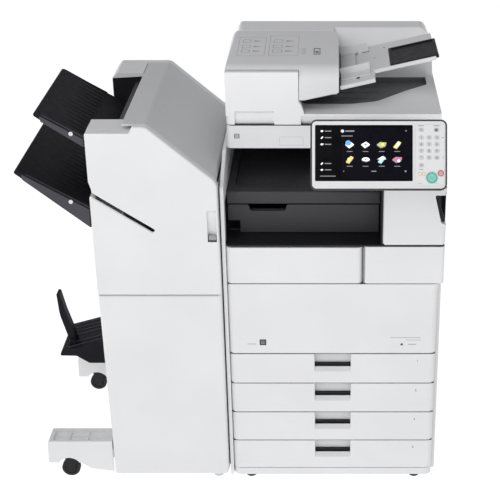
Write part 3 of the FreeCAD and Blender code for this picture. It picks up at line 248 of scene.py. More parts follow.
WHITE = moulded("white_cover", (0.80, 0.803, 0.81), 0.42)
# Greyer copy of the white cover plastic: painted shade for the finisher's sloping top.
SHADED_COVER = moulded("shaded_cover", (0.64, 0.645, 0.655), 0.40)
# Whiter copy of the white cover plastic: painted light for the lid's deck.
LIT_DECK = moulded("lit_deck_cover", (0.88, 0.883, 0.888), 0.42)
LIGHT = moulded("light_grey", (0.62, 0.63, 0.64), 0.42)
GREY = moulded("mid_grey", (0.36, 0.365, 0.38), 0.45)
SMOKE = moulded("smoke_grey", (0.16, 0.163, 0.172), 0.42, spreading=0.10)
DARK = moulded("dark_plastic", (0.056, 0.056, 0.062), 0.48, depth=0.14, spreading=0.14, specular=0.3)
BLACK = moulded("black_plastic", (0.012, 0.012, 0.015), 0.45, depth=0.10, spreading=0.2, specular=0.25)
TRAY = moulded("tray_black", (0.012, 0.011, 0.017), 0.50, depth=0.16, spreading=0.3, specular=0.12)
# Near-black material for painted shade at the back of gaps and recesses.
RECESS_SHADE = moulded("recess_shade", (0.004, 0.004, 0.005), 0.60, spreading=0.3, specular=0.08)
GLASS = clear_glass("scan_glass", (0.72, 0.84, 0.83))
STEEL = sheet_metal("steel", (0.60, 0.62, 0.64), 0.34, (1, 1, 0.05))
RUBBER = rubber("rubber", (0.018, 0.018, 0.019))
SCREEN = glossy("screen_glass", (0.003, 0.003, 0.004), 0.16, specular=0.06)
KEYS = moulded("key_plastic", (0.83, 0.835, 0.84), 0.36, depth=0.05)
GREEN = glossy("start_green", (0.20, 0.62, 0.50), 0.28)
RED = glossy("stop_red", (0.80, 0.36, 0.42), 0.30)
INK = glossy("print_grey", (0.20, 0.20, 0.21), 0.5)
PALE_INK = glossy("print_pale", (0.48, 0.48, 0.50), 0.5)
DARK_INK = glossy("print_dark", (0.03, 0.03, 0.035), 0.5)
KEY_CAP = moulded("key_caps", (0.66, 0.665, 0.67), 0.36, depth=0.05)
AMBER = glossy("amber_ring", (0.78, 0.50, 0.16), 0.35)
MINT = glossy("mint_ring", (0.42, 0.78, 0.68), 0.35)
ROSE = glossy("rose_ring", (0.80, 0.48, 0.52), 0.35)
TRAY_LIP = moulded("tray_lip", (0.074, 0.071, 0.086), 0.50, depth=0.2, spreading=0.25, specular=0.25)

FINISH = {
    WHITE: "left_cover right_cover rear_cover right_front_cover front_cover toner_door right_door "
           "base_plinth cassette_front_1 cassette_front_2 cassette_front_3 cassette_front_4 "
           "reader_housing feeder_cover control_panel finisher_lower_cover finisher_door "
           "finisher_rear_cover finisher_side_cover finisher_legs document_tray front_document_guide "
           "rear_document_guide bypass_tray panel_bracket",
    SHADED_COVER: "finisher_top_cover",
    LIT_DECK: "lid_base",
    GREY: "toner_bottle",
    SMOKE: "cassette_tray_1 cassette_tray_2 cassette_tray_3 cassette_tray_4 scan_carriage",
    DARK: "pass_unit pass_unit_flap tray_wall imaging_unit stapler_unit",
    TRAY: "upper_tray lower_tray booklet_tray booklet_flap",
    BLACK: "tray_extension output_liner levelling_feet power_inlet caster_fork_front caster_fork_rear",
    GLASS: "platen_glass",
    STEEL: "main_frame finisher_frame",
    RUBBER: "feed_roller exit_roller caster_wheel_front caster_wheel_rear fuser_roller",
    SCREEN: "touch_screen",
    KEYS: "key_sheet",
    GREEN: "start_key",
    RED: "stop_key",
}

# Visible covers whose moulded edges are eased, with the radius in millimetres.
EASED = {
    1.2: "left_cover right_cover rear_cover right_front_cover front_cover toner_door right_door "
         "base_plinth cassette_front_1 cassette_front_2 cassette_front_3 cassette_front_4 "
         "reader_housing finisher_lower_cover finisher_door finisher_rear_cover "
         "finisher_side_cover bypass_tray pass_unit_flap",
    0.8: "lid_base feeder_cover document_tray front_document_guide rear_document_guide tray_extension "
         "finisher_top_cover finisher_legs upper_tray lower_tray booklet_tray booklet_flap",
}


def finish_nodes():
    """Gives every carried-over CAD node its material, and eases the edges of the visible covers."""
    for material, names in FINISH.items():
        for name in names.split():
            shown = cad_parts[name]
            shown.data.materials.clear()
            shown.data.materials.append(material)
    for radius, names in EASED.items():
        for name in names.split():
            ease(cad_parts[name], radius)


# Points nearer than this are one point, faces flatter than this are one face, and edges sharper
# than this are rounded.
WELD_WITHIN = 0.02 * MM
FLAT_WITHIN = math.radians(0.6)
SHARP_ABOVE = math.radians(40)


def ease(shown, radius):
    """Rounds the sharp edges of an object, by a radius in millimetres, and smooths its shading."""
    weld = shown.modifiers.new("weld", "WELD")
    weld.merge_threshold = WELD_WITHIN
    flat = shown.modifiers.new("flat", "DECIMATE")
    flat.decimate_type = "DISSOLVE"
    flat.angle_limit = FLAT_WITHIN
    edges = shown.modifiers.new("rounded", "BEVEL")
    edges.width = radius * MM
    edges.segments = 2
    edges.limit_method = "ANGLE"
    edges.angle_limit = SHARP_ABOVE
    edges.use_clamp_overlap = True
    shading = shown.modifiers.new("shading", "WEIGHTED_NORMAL")
    shading.keep_sharp = False
    shading.weight = 80


# ---- camera, light and floor --------------------------------------------------------------------

CAMERA_PLACE = (0, -3045, 2163)
LOOKING_DOWN = 25.2  # degrees below level

# Each light's name, place, the point it is turned to, size in metres and power in watts.
LIGHTS = [
    ("key", (-1100, -2400, 3300), (-100, 100, 700), 2.4, 52),
    ("fill", (1200, -2800, 1300), (-100, 0, 600), 2.6, 7),
    ("crown", (-3000, 500, 2300), (-100, 250, 900), 2.0, 14),
]


def studio():
    """Camera straight in front of the copier, with its frame shifted to take in the finisher at the
    left, soft lights from the front and the left, and a pale seamless floor."""
    camera = bpy.data.objects.new("camera", bpy.data.cameras.new("camera"))
    bpy.context.scene.collection.objects.link(camera)
    camera.location = at(*CAMERA_PLACE)
    camera.rotation_euler = (math.radians(90 - LOOKING_DOWN), 0, 0)
    camera.data.sensor_width = 36
    camera.data.lens = 91.656
    camera.data.shift_x = -0.1654
    bpy.context.scene.camera = camera

    for name, place, aim, size, power in LIGHTS:
        light = bpy.data.lights.new(name, "AREA")
        light.size = size
        light.energy = power
        lamp = bpy.data.objects.new(name, light)
        bpy.context.scene.collection.objects.link(lamp)
        lamp.location = at(*place)
        lamp.rotation_euler = (at(*aim) - at(*place)).to_track_quat("-Z", "Y").to_euler()

    world = bpy.data.worlds.new("studio")
    bpy.context.scene.world = world
    world.use_nodes = True
    tree = world.node_tree
    direction = tree.nodes.new("ShaderNodeTexCoord")
    split = tree.nodes.new("ShaderNodeSeparateXYZ")
    tree.links.new(direction.outputs["Generated"], split.inputs[0])
    sky = ramp(tree, split.outputs["Z"], [
        (0.0, (1.0, 1.0, 1.0)), (0.12, (0.70, 0.70, 0.71)),
        (0.5, (0.36, 0.36, 0.37)), (1.0, (0.30, 0.30, 0.31)),
    ])
    background = tree.nodes["Background"]
    tree.links.new(sky, background.inputs["Color"])
    background.inputs["Strength"].default_value = 0.75
    bpy.context.scene.view_settings.view_transform = "Standard"

    material, tree, shader, vector = nodes_of("floor")
    tone = noise(tree, vector, 0.8, 2)
    pale = ramp(tree, tone, [(0.3, (0.33, 0.33, 0.33)), (0.7, (0.35, 0.35, 0.35))])
    tree.links.new(pale, shader.inputs["Base Color"])
    shader.inputs["Roughness"].default_value = 0.7
    shader.inputs["Emission Color"].default_value = (1, 1, 1, 1)
    shader.inputs["Emission Strength"].default_value = 0.90
    mesh = bpy.data.meshes.new("floor")
    reach = 30.0
    corners = [(-reach, -reach, 0), (reach, -reach, 0), (reach, reach, 0), (-reach, reach, 0)]
    mesh.from_pydata(corners, [], [(0, 1, 2, 3)])
    mesh.materials.append(material)
    floor = bpy.data.objects.new("floor", mesh)
    bpy.context.scene.collection.objects.link(floor)


# ---- mesh building ------------------------------------------------------------------------------

ARC_STEPS = 5
SAME_POINT = 1e-6  # metres


def rounded(points):
    """Outline through (a, b, radius) corners, each corner turned into a short arc."""
    count = len(points)
    path = []
    for i, (a, b, radius) in enumerate(points):
        here = Vector((a, b))
        if radius <= 0:
            path.append((a, b))
            continue
        before = (Vector(points[i - 1][:2]) - here).normalized()
        after = (Vector(points[(i + 1) % count][:2]) - here).normalized()
        half = before.angle(after) / 2
        centre = here + (before + after).normalized() * (radius / math.sin(half))
        start = here + before * (radius / math.tan(half)) - centre
        end = here + after * (radius / math.tan(half)) - centre
        turn = math.atan2(start.x * end.y - start.y * end.x, start.dot(end))
        for k in range(ARC_STEPS + 1):
            angle = turn * k / ARC_STEPS
            path.append((
                centre.x + start.x * math.cos(angle) - start.y * math.sin(angle),
                centre.y + start.x * math.sin(angle) + start.y * math.cos(angle),
            ))
    return path


def rectangle(a0, a1, b0, b1, radius=0.0):
    """Rounded rectangle's outline."""
    return rounded([(a0, b0, radius), (a1, b0, radius), (a1, b1, radius), (a0, b1, radius)])


def circle(a, b, radius, count=28):
    """Circle's outline."""
    turns = [2 * math.pi * k / count for k in range(count)]
    return [(a + radius * math.cos(t), b + radius * math.sin(t)) for t in turns]


def prism(bm, outline, low, high, spot, material=0):
    """Closed prism over an outline, from low to high; spot turns (a, b, c) into a point."""
    bottom = [bm.verts.new(spot(a, b, low)) for a, b in outline]
    top = [bm.verts.new(spot(a, b, high)) for a, b in outline]
    faces = [bm.faces.new(bottom), bm.faces.new(top)]
    for i, corner in enumerate(bottom):
        j = (i + 1) % len(bottom)
        faces.append(bm.faces.new((corner, bottom[j], top[j], top[i])))
    for face in faces:
        face.material_index = material


def ring(bm, outer, inner, low, high, spot, material=0):
    """Closed frame between two outlines with the same number of points."""
    loops = [
        [bm.verts.new(spot(a, b, c)) for a, b in outline]
        for outline, c in ((outer, low), (outer, high), (inner, high), (inner, low))
    ]
    for k, loop in enumerate(loops):
        follow = loops[(k + 1) % 4]
        for i in range(len(loop)):
            j = (i + 1) % len(loop)
            bm.faces.new((loop[i], loop[j], follow[j], follow[i])).material_index = material


def lathe(bm, profile, spot, count):
    """Solid of revolution: (radius, height) profile, turned about the spot's third axis."""
    rows = []
    for radius, height in profile:
        if radius <= 0:
            rows.append([bm.verts.new(spot(0, 0, height))])
        else:
            rows.append([bm.verts.new(spot(a, b, height)) for a, b in circle(0, 0, radius, count)])
    for lower, upper in zip(rows, rows[1:]):
        for i in range(count):
            j = (i + 1) % count
            if len(lower) == 1:
                bm.faces.new((lower[0], upper[j], upper[i]))
            elif len(upper) == 1:
                bm.faces.new((lower[i], lower[j], upper[0]))
            else:
                bm.faces.new((lower[i], lower[j], upper[j], upper[i]))


def letters(bm, text, a, b, height, low, high, spot):
    """Raised characters, centred on (a, b)."""
    curve = bpy.data.curves.new("characters", "FONT")
    curve.body = text
    curve.align_x = "CENTER"
    curve.align_y = "CENTER"
    curve.size = height * 1.4
    curve.extrude = 0.5
    curve.resolution_u = 3
    holder = bpy.data.objects.new("characters", curve)
    bpy.context.scene.collection.objects.link(holder)
    drawn = bpy.data.meshes.new_from_object(holder.evaluated_get(bpy.context.evaluated_depsgraph_get()))
    corners = [
        bm.verts.new(spot(a + v.co.x, b + v.co.y, low if v.co.z < 0 else high)) for v in drawn.vertices
    ]
    for polygon in drawn.polygons:
        bm.faces.new([corners[i] for i in polygon.vertices])
    bpy.data.objects.remove(holder)
    bpy.data.curves.remove(curve)
    bpy.data.meshes.remove(drawn)


def piece(name, bm, materials, body, radius=0.0):
    """Turns the mesh under construction into a named piece that rides on a body."""
    bmesh.ops.remove_doubles(bm, verts=bm.verts, dist=SAME_POINT)
    bmesh.ops.recalc_face_normals(bm, faces=bm.faces)
    mesh = bpy.data.meshes.new(name)
    bm.to_mesh(mesh)
    bm.free()
    for material in materials if isinstance(materials, list) else [materials]:
        mesh.materials.append(material)
    made = bpy.data.objects.new(name, mesh)
    bpy.context.scene.collection.objects.link(made)
    if radius > 0:
        ease(made, radius)
    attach(made, body)


def facing_front(y):
    """Drawing plane on a front face at depth y: right, up, and out towards the front."""
    return lambda a, b, c: at(a, y - c, b)


def facing_up(z):
    """Drawing plane on a level face at height z: right, back, and up."""
    return lambda a, b, c: at(a, b, z + c)


def facing_back(y):
    """Drawing plane on a rear face at depth y: right as seen from the front, up, and out to the back."""
    return lambda a, b, c: at(a, y + c, b)


def facing_right(x):
    """Drawing plane on a right face at x: back, up, and out to the right."""
    return lambda a, b, c: at(x + c, a, b)


ON_COVERS = facing_front(0)
ON_READER = facing_front(READER_FRONT)
ON_FINISHER = facing_front(FINISHER_FRONT)
ON_BACK = facing_back(COPIER_BACK)
ON_BED = facing_up(BED_TOP)


# ---- control panel ------------------------------------------------------------------------------

def panel_rim():
    """Dark band round the edge of the panel housing."""
    bm = bmesh.new()
    ring(bm, rectangle(-167.9, 167.9, -86.9, 86.9, 15), rectangle(-163.6, 163.6, -82.6, 82.6, 11),
         -24.0, 0.5, on_panel)
    piece("panel_rim", bm, DARK, "panel", 0.7)


SCREEN_FACE = -0.38
LAYER = 0.05
PICTURE_SIZE = 1.22
SHEET = [(-9, 0), (1, 6), (9, 0), (-1, -7)]
FOLDER = [(-10, 0), (-3, 5), (10, 4), (7, -3), (-2, -6)]
CARD = [(-8, -5), (2, 7), (8, 4), (-1, -8)]
SLIP = [(-8, -1), (-5, 3), (0, 4), (6, 3), (9, -1), (2, -4), (-3, -3)]


def tile(bm, a, b, shape, level, material):
    """Flat prism of a drawn shape, centred on (a, b), at a level of the display."""
    low = SCREEN_FACE + LAYER * level
    prism(bm, [(a + x, b + y) for x, y in shape], low, low + LAYER, on_panel, material)


def display():
    """Menu on the touch screen: a side list, a heading and eight coloured pictures, all generic."""
    colours = [
        glossy("lit_white", (0.80, 0.82, 0.84), 0.3, glow=0.9),
        glossy("lit_grey", (0.20, 0.20, 0.22), 0.3, glow=0.7),
        glossy("lit_blue", (0.10, 0.34, 0.66), 0.3, glow=0.7),
        glossy("lit_olive", (0.34, 0.38, 0.12), 0.3, glow=0.9),
        glossy("lit_yellow", (0.68, 0.62, 0.20), 0.3, glow=0.8),
        glossy("lit_orange", (0.74, 0.46, 0.14), 0.3, glow=0.8),
        glossy("lit_teal", (0.30, 0.62, 0.62), 0.3, glow=0.9),
        glossy("lit_pink", (0.46, 0.16, 0.28), 0.3, glow=0.7),
        glossy("lit_night", (0.004, 0.004, 0.008), 0.3, specular=0.05),
    ]
    white, grey, blue, olive, yellow, orange, teal, pink, night = range(len(colours))
    bm = bmesh.new()
    tile(bm, -5, 4.5, rectangle(-86, 86, -63, 63, 2), 0, night)
    pictures = [
        (-71.3, 25.5, [(SHEET, white), (circle(-3, 3, 5.5), blue)]),
        (-32.4, 25.5, [(SHEET, white), (circle(0, 0, 2.4), grey)]),
        (7.3, 25.5, [(FOLDER, olive), (circle(2, 0, 2.6), yellow)]),
        (45.4, 25.5, [(CARD, yellow), (circle(2, 1, 3.0), white)]),
        (-71.3, -10.8, [(CARD, orange), (circle(-1, 0, 3.6), yellow)]),
        (-32.4, -10.8, [(SLIP, white), (circle(0, 0, 2.0), grey)]),
        (7.3, -10.8, [(CARD, teal), (SHEET[:3], white)]),
        (45.4, -10.8, [(FOLDER, pink), (circle(3, -3, 2.8), white)]),
    ]
    for a, b, layers in pictures:
        # A grey edge under the picture, its layers, and a bar in place of its caption.
        tile(bm, a, b - 2.4, [(PICTURE_SIZE * x, 1.15 * y) for x, y in layers[0][0]], 1, grey)
        for level, (shape, colour) in enumerate(layers):
            tile(bm, a, b, [(PICTURE_SIZE * x, PICTURE_SIZE * y) for x, y in shape], 2 + level, colour)
        tile(bm, a, b - 17, rectangle(-7, 7, -0.8, 0.8), 1, grey)
    for b, mark in ((58.5, SHEET), (42.5, CARD), (26, FOLDER), (-21, CARD), (-36.5, SHEET)):
        tile(bm, -139.5, b, [(0.42 * x, 0.42 * y) for x, y in mark], 1, white)
        tile(bm, -124.5, b, rectangle(-8, 8, -1.1, 1.1), 1, grey)
    tile(bm, -125, -52, rectangle(-19, 19, -0.9, 0.9), 1, grey)
    tile(bm, -89, 58.5, circle(0, 0, 4.6), 1, grey)
    tile(bm, -89, 58.5, circle(0, 0, 2.6), 2, white)
    tile(bm, -71, 58.5, rectangle(-11, 11, -1.6, 1.6), 1, grey)
    tile(bm, -78, 46.5, rectangle(-14, 14, -0.9, 0.9), 1, grey)
    tile(bm, 67, 58.5, [(0, -2), (2.4, 2), (-2.4, 2)], 1, grey)
    tile(bm, -12, -40, rectangle(-6, 6, -1.2, 1.2), 1, grey)
    tile(bm, 66, -40, circle(0, 0, 2.4), 1, grey)
    tile(bm, -86, -40, circle(0, 0, 1.4), 1, grey)
    piece("screen_menu", bm, colours, "panel")


KEY_FACE = -0.45
KEY_TOP = 0.35
KEY_MARK = (0.3, 0.42)
FIRST_KEY = (104.2, 42.4)
KEY_PITCH = (19.2, 16.4)
KEY_CORNER = 4.6
START = (130.5, -56)
STOP = (152.5, -45)


def key_block():
    """Raised number keys with their digits, the other keys' marks, and the lamps and coloured rings."""
    caps = bmesh.new()
    marks = bmesh.new()
    for row, line in enumerate(("123", "456", "789", "*0#")):
        for column, character in enumerate(line):
            a = FIRST_KEY[0] + KEY_PITCH[0] * column
            b = FIRST_KEY[1] - KEY_PITCH[1] * row
            cap = rectangle(a - 6.6, a + 6.6, b - 5.2, b + 5.2, KEY_CORNER)
            prism(caps, cap, KEY_FACE, KEY_TOP, on_panel)
            letters(marks, character, a, b, 7.0, *KEY_MARK, on_panel)
    for a, b, half in ((104.2, 61.5, 7.0), (141.8, 61.5, 7.0), (104.8, -25.5, 6.6)):
        cap = rectangle(a - half, a + half, b - 5.4, b + 5.4, KEY_CORNER)
        prism(caps, cap, KEY_FACE, KEY_TOP, on_panel)
    for a, b in ((104.2, 61.5), (104.8, -25.5)):
        ring(marks, circle(a, b, 3.2, 20), circle(a, b, 2.2, 20), *KEY_MARK, on_panel)
    prism(marks, circle(141.0, 61.0, 4.2, 20), *KEY_MARK, on_panel)
    for a, b, half in (
        (104, 71.5, 7), (142, 71.5, 7), (157.5, 42.4, 1.6), (157.5, -6, 1.0), (104, -35.2, 5),
    ):
        prism(marks, rectangle(a - half, a + half, b - 0.7, b + 0.7), KEY_FACE, -0.3, on_panel)
    piece("number_keys", caps, KEY_CAP, "panel", 0.25)
    piece("key_legends", marks, INK, "panel")

    pair = bmesh.new()
    for a in (101.4, 110.6):
        ring(pair, circle(a, -46.4, 4.6), circle(a, -46.4, 3.7), KEY_FACE, 0.1, on_panel)
    piece("clear_key_rings", pair, AMBER, "panel")
    halo = bmesh.new()
    ring(halo, circle(*START, 15.6, 40), circle(*START, 13.4, 40), KEY_FACE, 0.15, on_panel)
    piece("start_halo", halo, MINT, "panel")
    emblem = bmesh.new()
    ring(emblem, circle(*START, 7.2, 32), circle(*START, 5.9, 32), 1.15, 1.35, on_panel)
    prism(emblem, rectangle(129.7, 131.3, -56, -48.4, 0.5), 1.15, 1.4, on_panel)
    piece("start_emblem", emblem, MINT, "start_key")
    stop = bmesh.new()
    ring(stop, circle(*STOP, 8.4, 32), circle(*STOP, 7.2, 32), KEY_FACE, 0.1, on_panel)
    piece("stop_halo", stop, ROSE, "panel")
    lamp = bmesh.new()
    prism(lamp, rectangle(96, 106, -71, -69.6, 0.6), -0.1, 0.15, on_panel)
    prism(lamp, rectangle(140, 144, -71.5, -69.5, 0.9), -0.1, 0.15, on_panel)
    piece("status_lamps", lamp, ROSE, "panel")


# ---- copier details -----------------------------------------------------------------------------

def seam_strips():
    """Black bars, grey strips and black strips set in the gaps between the covers, round the lid and
    beside the finisher: painted shade that makes the seams read dark.
    """
    gaps = []
    for index in range(1, 4):
        z = CASSETTE_BASE + CASSETTE_PITCH * index
        gaps.append((z - 2.1, z - 0.4))
    gaps += [(414.1, 416.2), (629.0, 630.5)]
    bm = bmesh.new()
    # Black bars of painted shade set back in the gaps between the front covers.
    for b0, b1 in gaps:
        prism(bm, rectangle(-281, 281, b0, b1), -27, -2.5, ON_COVERS)
    # Grey strip of painted shade in the gap at the toner door's right edge.
    prism(bm, rectangle(80.6, 82.4, 633, 737), -27, -0.8, ON_COVERS, 1)
    piece("gap_shade_bars", bm, [BLACK, GREY], "copier")
    # Black strips of painted shade in the gap under the lid.
    lid_shade = bmesh.new()
    for a0, a1, b0, b1 in ((-270, 279, 130.3, 136), (-280, -273, 140, 560), (273, 280, 140, 560)):
        prism(lid_shade, rectangle(a0, a1, b0, b1), 0.1, 2.6, facing_up(READER_TOP))
    piece("lid_gap_shade", lid_shade, BLACK, "copier")
    # Grey strip of painted shade in the finisher's seam.
    split = bmesh.new()
    prism(split, rectangle(-623, -306, 604.6, 607.4), -7, -0.6, ON_FINISHER)
    piece("finisher_seam_shade", split, GREY, "finisher")
    # Black strip of painted shade in the gap between the finisher and the copier.
    docking_shade = bmesh.new()
    prism(docking_shade, rectangle(-296.4, -293.6, 40, 900), -26, -18, ON_COVERS)
    piece("docking_gap_shade", docking_shade, BLACK, "finisher")


def cassette_details():
    """Hand pocket backs, each with a black band of painted shade in its gutter, and numbers of the four
    cassettes, 1 being the highest.
    """
    half = 49.6
    for number in range(1, 5):
        top = CASSETTE_BASE + CASSETTE_PITCH * (4 - number) + CASSETTE_HEIGHT
        bottom = top - 56
        bm = bmesh.new()
        prism(bm, rectangle(-half, half, bottom + 2.2, top - 0.6), -23.9, -23.2, ON_COVERS, 0)
        # Black band of painted shade in the gutter behind the pocket's lip.
        prism(bm, rectangle(-half, half, bottom + 2.2, bottom + 19), -23.2, -14.6, ON_COVERS, 1)
        piece(f"pocket_back_and_shade_{number}", bm, [WHITE, BLACK], f"cassette_{number}")
        digit = bmesh.new()
        a = 233 - 1.7 * (number - 1)
        letters(digit, str(number), a, top - 22, 7.0, *PRINTED, ON_COVERS)
        piece(f"cassette_number_{number}", digit, DARK_INK, f"cassette_{number}")


def front_marks():
    """Generic marks printed on the covers, with no lettering."""
    bm = bmesh.new()
    prism(bm, rectangle(-200, -182, 442, 460, 1), *RAISED, ON_COVERS, 0)
    for b in (447, 451, 455):
        prism(bm, rectangle(-196.5, -185.5, b - 0.6, b + 0.6), 0.1, 0.22, ON_COVERS, 1)
    for k in range(5):
        prism(bm, rectangle(-233 + 5 * k, -229.6 + 5 * k, 444, 447.5), *PRINTED, ON_COVERS, 1)
    prism(bm, rectangle(158, 241, 464.5, 466.5), *PRINTED, ON_COVERS, 1)
    prism(bm, rectangle(200, 241, 457.2, 459), *PRINTED, ON_COVERS, 1)
    prism(bm, circle(189, 444.5, 3.4), *PRINTED, ON_COVERS, 0)
    prism(bm, rectangle(206, 229, 443, 446), *PRINTED, ON_COVERS, 1)
    piece("front_cover_marks", bm, [DARK_INK, PALE_INK], "front_cover")
    mark = bmesh.new()
    ring(mark, rectangle(-261, -246.5, 995.5, 1008.5, 1), rectangle(-258.6, -248.9, 997.9, 1006.1, 0.5),
         *RAISED, ON_READER)
    for b in (1000.4, 1003.6):
        prism(mark, rectangle(-258.8, -248.7, b - 0.8, b + 0.8), *RAISED, ON_READER)
    piece("reader_mark", mark, INK, "copier")
    panel = bmesh.new()
    ring(panel, rectangle(-141, -78, 976, 1000, 2), rectangle(-140.2, -78.8, 976.8, 999.2, 1.4),
         *PRINTED, ON_READER)
    piece("reader_panel_outline", panel, PALE_INK, "copier")


def hood_point(a, b, c):
    """Point on the feeder cover's top, which rises towards the back: right, back, and up."""
    return at(a, b, HOOD_TOP + (b - READER_FRONT) * HOOD_RISE / HOOD_DEPTH + c)


def hood_marks():
    """Faint wordless drawings on the feeder cover that show how originals are laid in."""
    bm = bmesh.new()
    for a0, a1, b0, b1 in ((-256, -182, 236, 396), (-172, -92, 236, 408)):
        ring(bm, rectangle(a0, a1, b0, b1, 4), rectangle(a0 + 1.2, a1 - 1.2, b0 + 1.6, b1 - 1.6, 3),
             *HOOD_PRINTED, hood_point)
        middle = (a0 + a1) / 2
        for b in (b0 + 26, b0 + 66, b0 + 112):
            ring(bm, rectangle(a0 + 10, middle - 4, b, b + 26, 2),
                 rectangle(a0 + 12, middle - 6, b + 2.6, b + 23.4, 1), *HOOD_PRINTED, hood_point)
            arrow = [(middle + 4, b + 6), (middle + 4, b + 20), (a1 - 10, b + 13)]
            prism(bm, arrow, *HOOD_PRINTED, hood_point)
    for b in (250, 264, 278, 292):
        prism(bm, rectangle(-84, -72, b, b + 4), *HOOD_PRINTED, hood_point)
    piece("hood_drawings", bm, PALE_INK, "feeder_cover")
    dark = bmesh.new()
    ring(dark, rectangle(-51, -33, 246, 300, 2), rectangle(-48.6, -35.4, 252, 294, 1),
         0.02, 0.2, hood_point)
    prism(dark, rectangle(-46, -38, 258, 276, 1), 0.02, 0.2, hood_point)
    piece("hood_symbol", dark, INK, "feeder_cover")


def output_bed():
    """Dark moulded liner of the tray that the feeder drops its originals in; its dark grey is partly the
    plastic's own colour and partly painted shade under the document tray.
    """
    outer = rounded([
        (-83.4, 454.4, 0), (-83.4, 214.6, 19.4), (50, 214.6, 79.4), (119.8, 236.6, 59.4),
        (199.6, 325.5, 59.4), (263.4, 384.4, 19.4), (263.4, 454.4, 0),
    ])
    inner = rounded([
        (-82.2, 453.2, 0), (-82.2, 215.8, 18.2), (50, 215.8, 78.2), (119.3, 237.8, 58.2),
        (198.8, 326.5, 58.2), (262.2, 385.4, 18.2), (262.2, 453.2, 0),
    ])
    bm = bmesh.new()
    prism(bm, inner, 0.3, 1.4, ON_BED)
    ring(bm, outer, inner, 0.1, 15.6, ON_BED)
    for b in (262, 310, 358, 406):
        prism(bm, rectangle(-60, 20 + 0.75 * (b - 214), b, b + 3, 1.4), 1.2, 3.2, ON_BED)
    piece("output_bed", bm, SMOKE, "lid", 0.5)


def cavity_details():
    """Black sheet of painted shade in the gap beside the transport unit, and the latch in its recess at
    the right, the recess backed with painted shade.
    """
    bm = bmesh.new()
    # Black sheet of painted shade set back in the gap.
    prism(bm, rectangle(-280.5, -249, 749, 800), -100.8, -99.4, ON_COVERS)
    piece("unit_gap_shade", bm, RECESS_SHADE, "copier")
    latch = bmesh.new()
    recess = rounded([(266.6, 885, 3), (296.2, 885.6, 0), (296.2, 802.5, 0), (285, 809, 3)])
    # Back of the latch's recess: painted shade.
    prism(latch, recess, -26.8, -25.4, ON_COVERS, 0)
    lever = rounded([
        (270, 880, 3), (282, 884, 3), (284, 846, 6), (295, 812, 2), (289, 806, 2), (278, 828, 6),
    ])
    prism(latch, lever, -25.6, -8, ON_COVERS, 1)
    piece("side_latch", latch, [RECESS_SHADE, BLACK], "copier", 0.6)


def tray_top(a, b, c):
    """Point on the sloping document tray: along it from the feeder, back, and up from its upper face."""
    along = (math.cos(DOCUMENT_SLOPE), math.sin(DOCUMENT_SLOPE))
    height = DOCUMENT_FACE + c
    return at(
        DOCUMENT_ROOT[0] + a * along[0] - height * along[1],
        b,
        DOCUMENT_ROOT[1] + a * along[1] + height * along[0],
    )


def feed_inlet():
    """Dark strip of painted shade where the document tray meets the feeder, and size marks beside the
    guides.
    """
    bm = bmesh.new()
    # Painted shade standing in for the dark gap between the feeder and the tray.
    prism(bm, rectangle(0.6, 3.4, 152, 446), -0.2, 0.5, tray_top)
    prism(bm, rectangle(64, 86, 404, 407, 1), -0.1, 0.4, tray_top)
    for k in range(4):
        prism(bm, rectangle(64 + 6 * k, 65.4 + 6 * k, 396, 401), -0.1, 0.4, tray_top)
    for a, b in ((98, 330), (128, 408)):
        prism(bm, circle(a, b, 2.2, 16), -0.1, 0.5, tray_top)
    piece("feed_inlet", bm, DARK_INK, "document_tray")


def screw(bm, a, b, spot):
    """Pan-head screw with a crossed slot, its washer on the drawing plane."""
    def here(x, y, c):
        return spot(a + x, b + y, c)

    head = [(0, -0.2), (5.0, -0.2), (5.0, 0.5), (3.9, 0.6), (3.7, 1.5), (2.6, 2.1), (0, 2.2)]
    lathe(bm, head, here, 20)
    prism(bm, rectangle(-2.2, 2.2, -0.45, 0.45), 2.0, 2.35, here, 1)
    prism(bm, rectangle(-0.45, 0.45, -2.2, 2.2), 2.0, 2.35, here, 1)


def fasteners():
    """Screws of the rear, right and finisher covers, and the blank socket plate at the back."""
    for name, body, spot, columns, rows in (
        ("rear_cover_screws", "copier", ON_BACK, (-262, 0, 262), (66, 470, 925)),
        ("right_cover_screws", "copier", facing_right(COPIER_RIGHT), (160, 548), (66, 548)),
        ("finisher_screws", "finisher", facing_back(FINISHER_BACK), (-606, -330), (60, 470, 850)),
    ):
        bm = bmesh.new()
        for a in columns:
            for b in rows:
                screw(bm, a, b, spot)
        piece(name, bm, [STEEL, BLACK], body)
    plate = bmesh.new()
    prism(plate, rectangle(120, 244, 526, 606, 5), -0.2, 0.9, ON_BACK, 0)
    for a0, a1, b0, b1 in ((132, 160, 572, 594), (170, 198, 572, 594), (208, 232, 576, 590)):
        prism(plate, rectangle(a0, a1, b0, b1, 1), 0.8, 1.5, ON_BACK, 1)
    prism(plate, rectangle(132, 232, 538, 560, 2), 0.8, 1.3, ON_BACK, 2)
    for a in (125.5, 238.5):
        ring(plate, circle(a, 566, 3.2, 20), circle(a, 566, 1.4, 20), 0.8, 1.8, ON_BACK, 2)
    piece("socket_plate", plate, [LIGHT, BLACK, GREY], "copier", 0.3)


# ---- finisher details ---------------------------------------------------------------------------

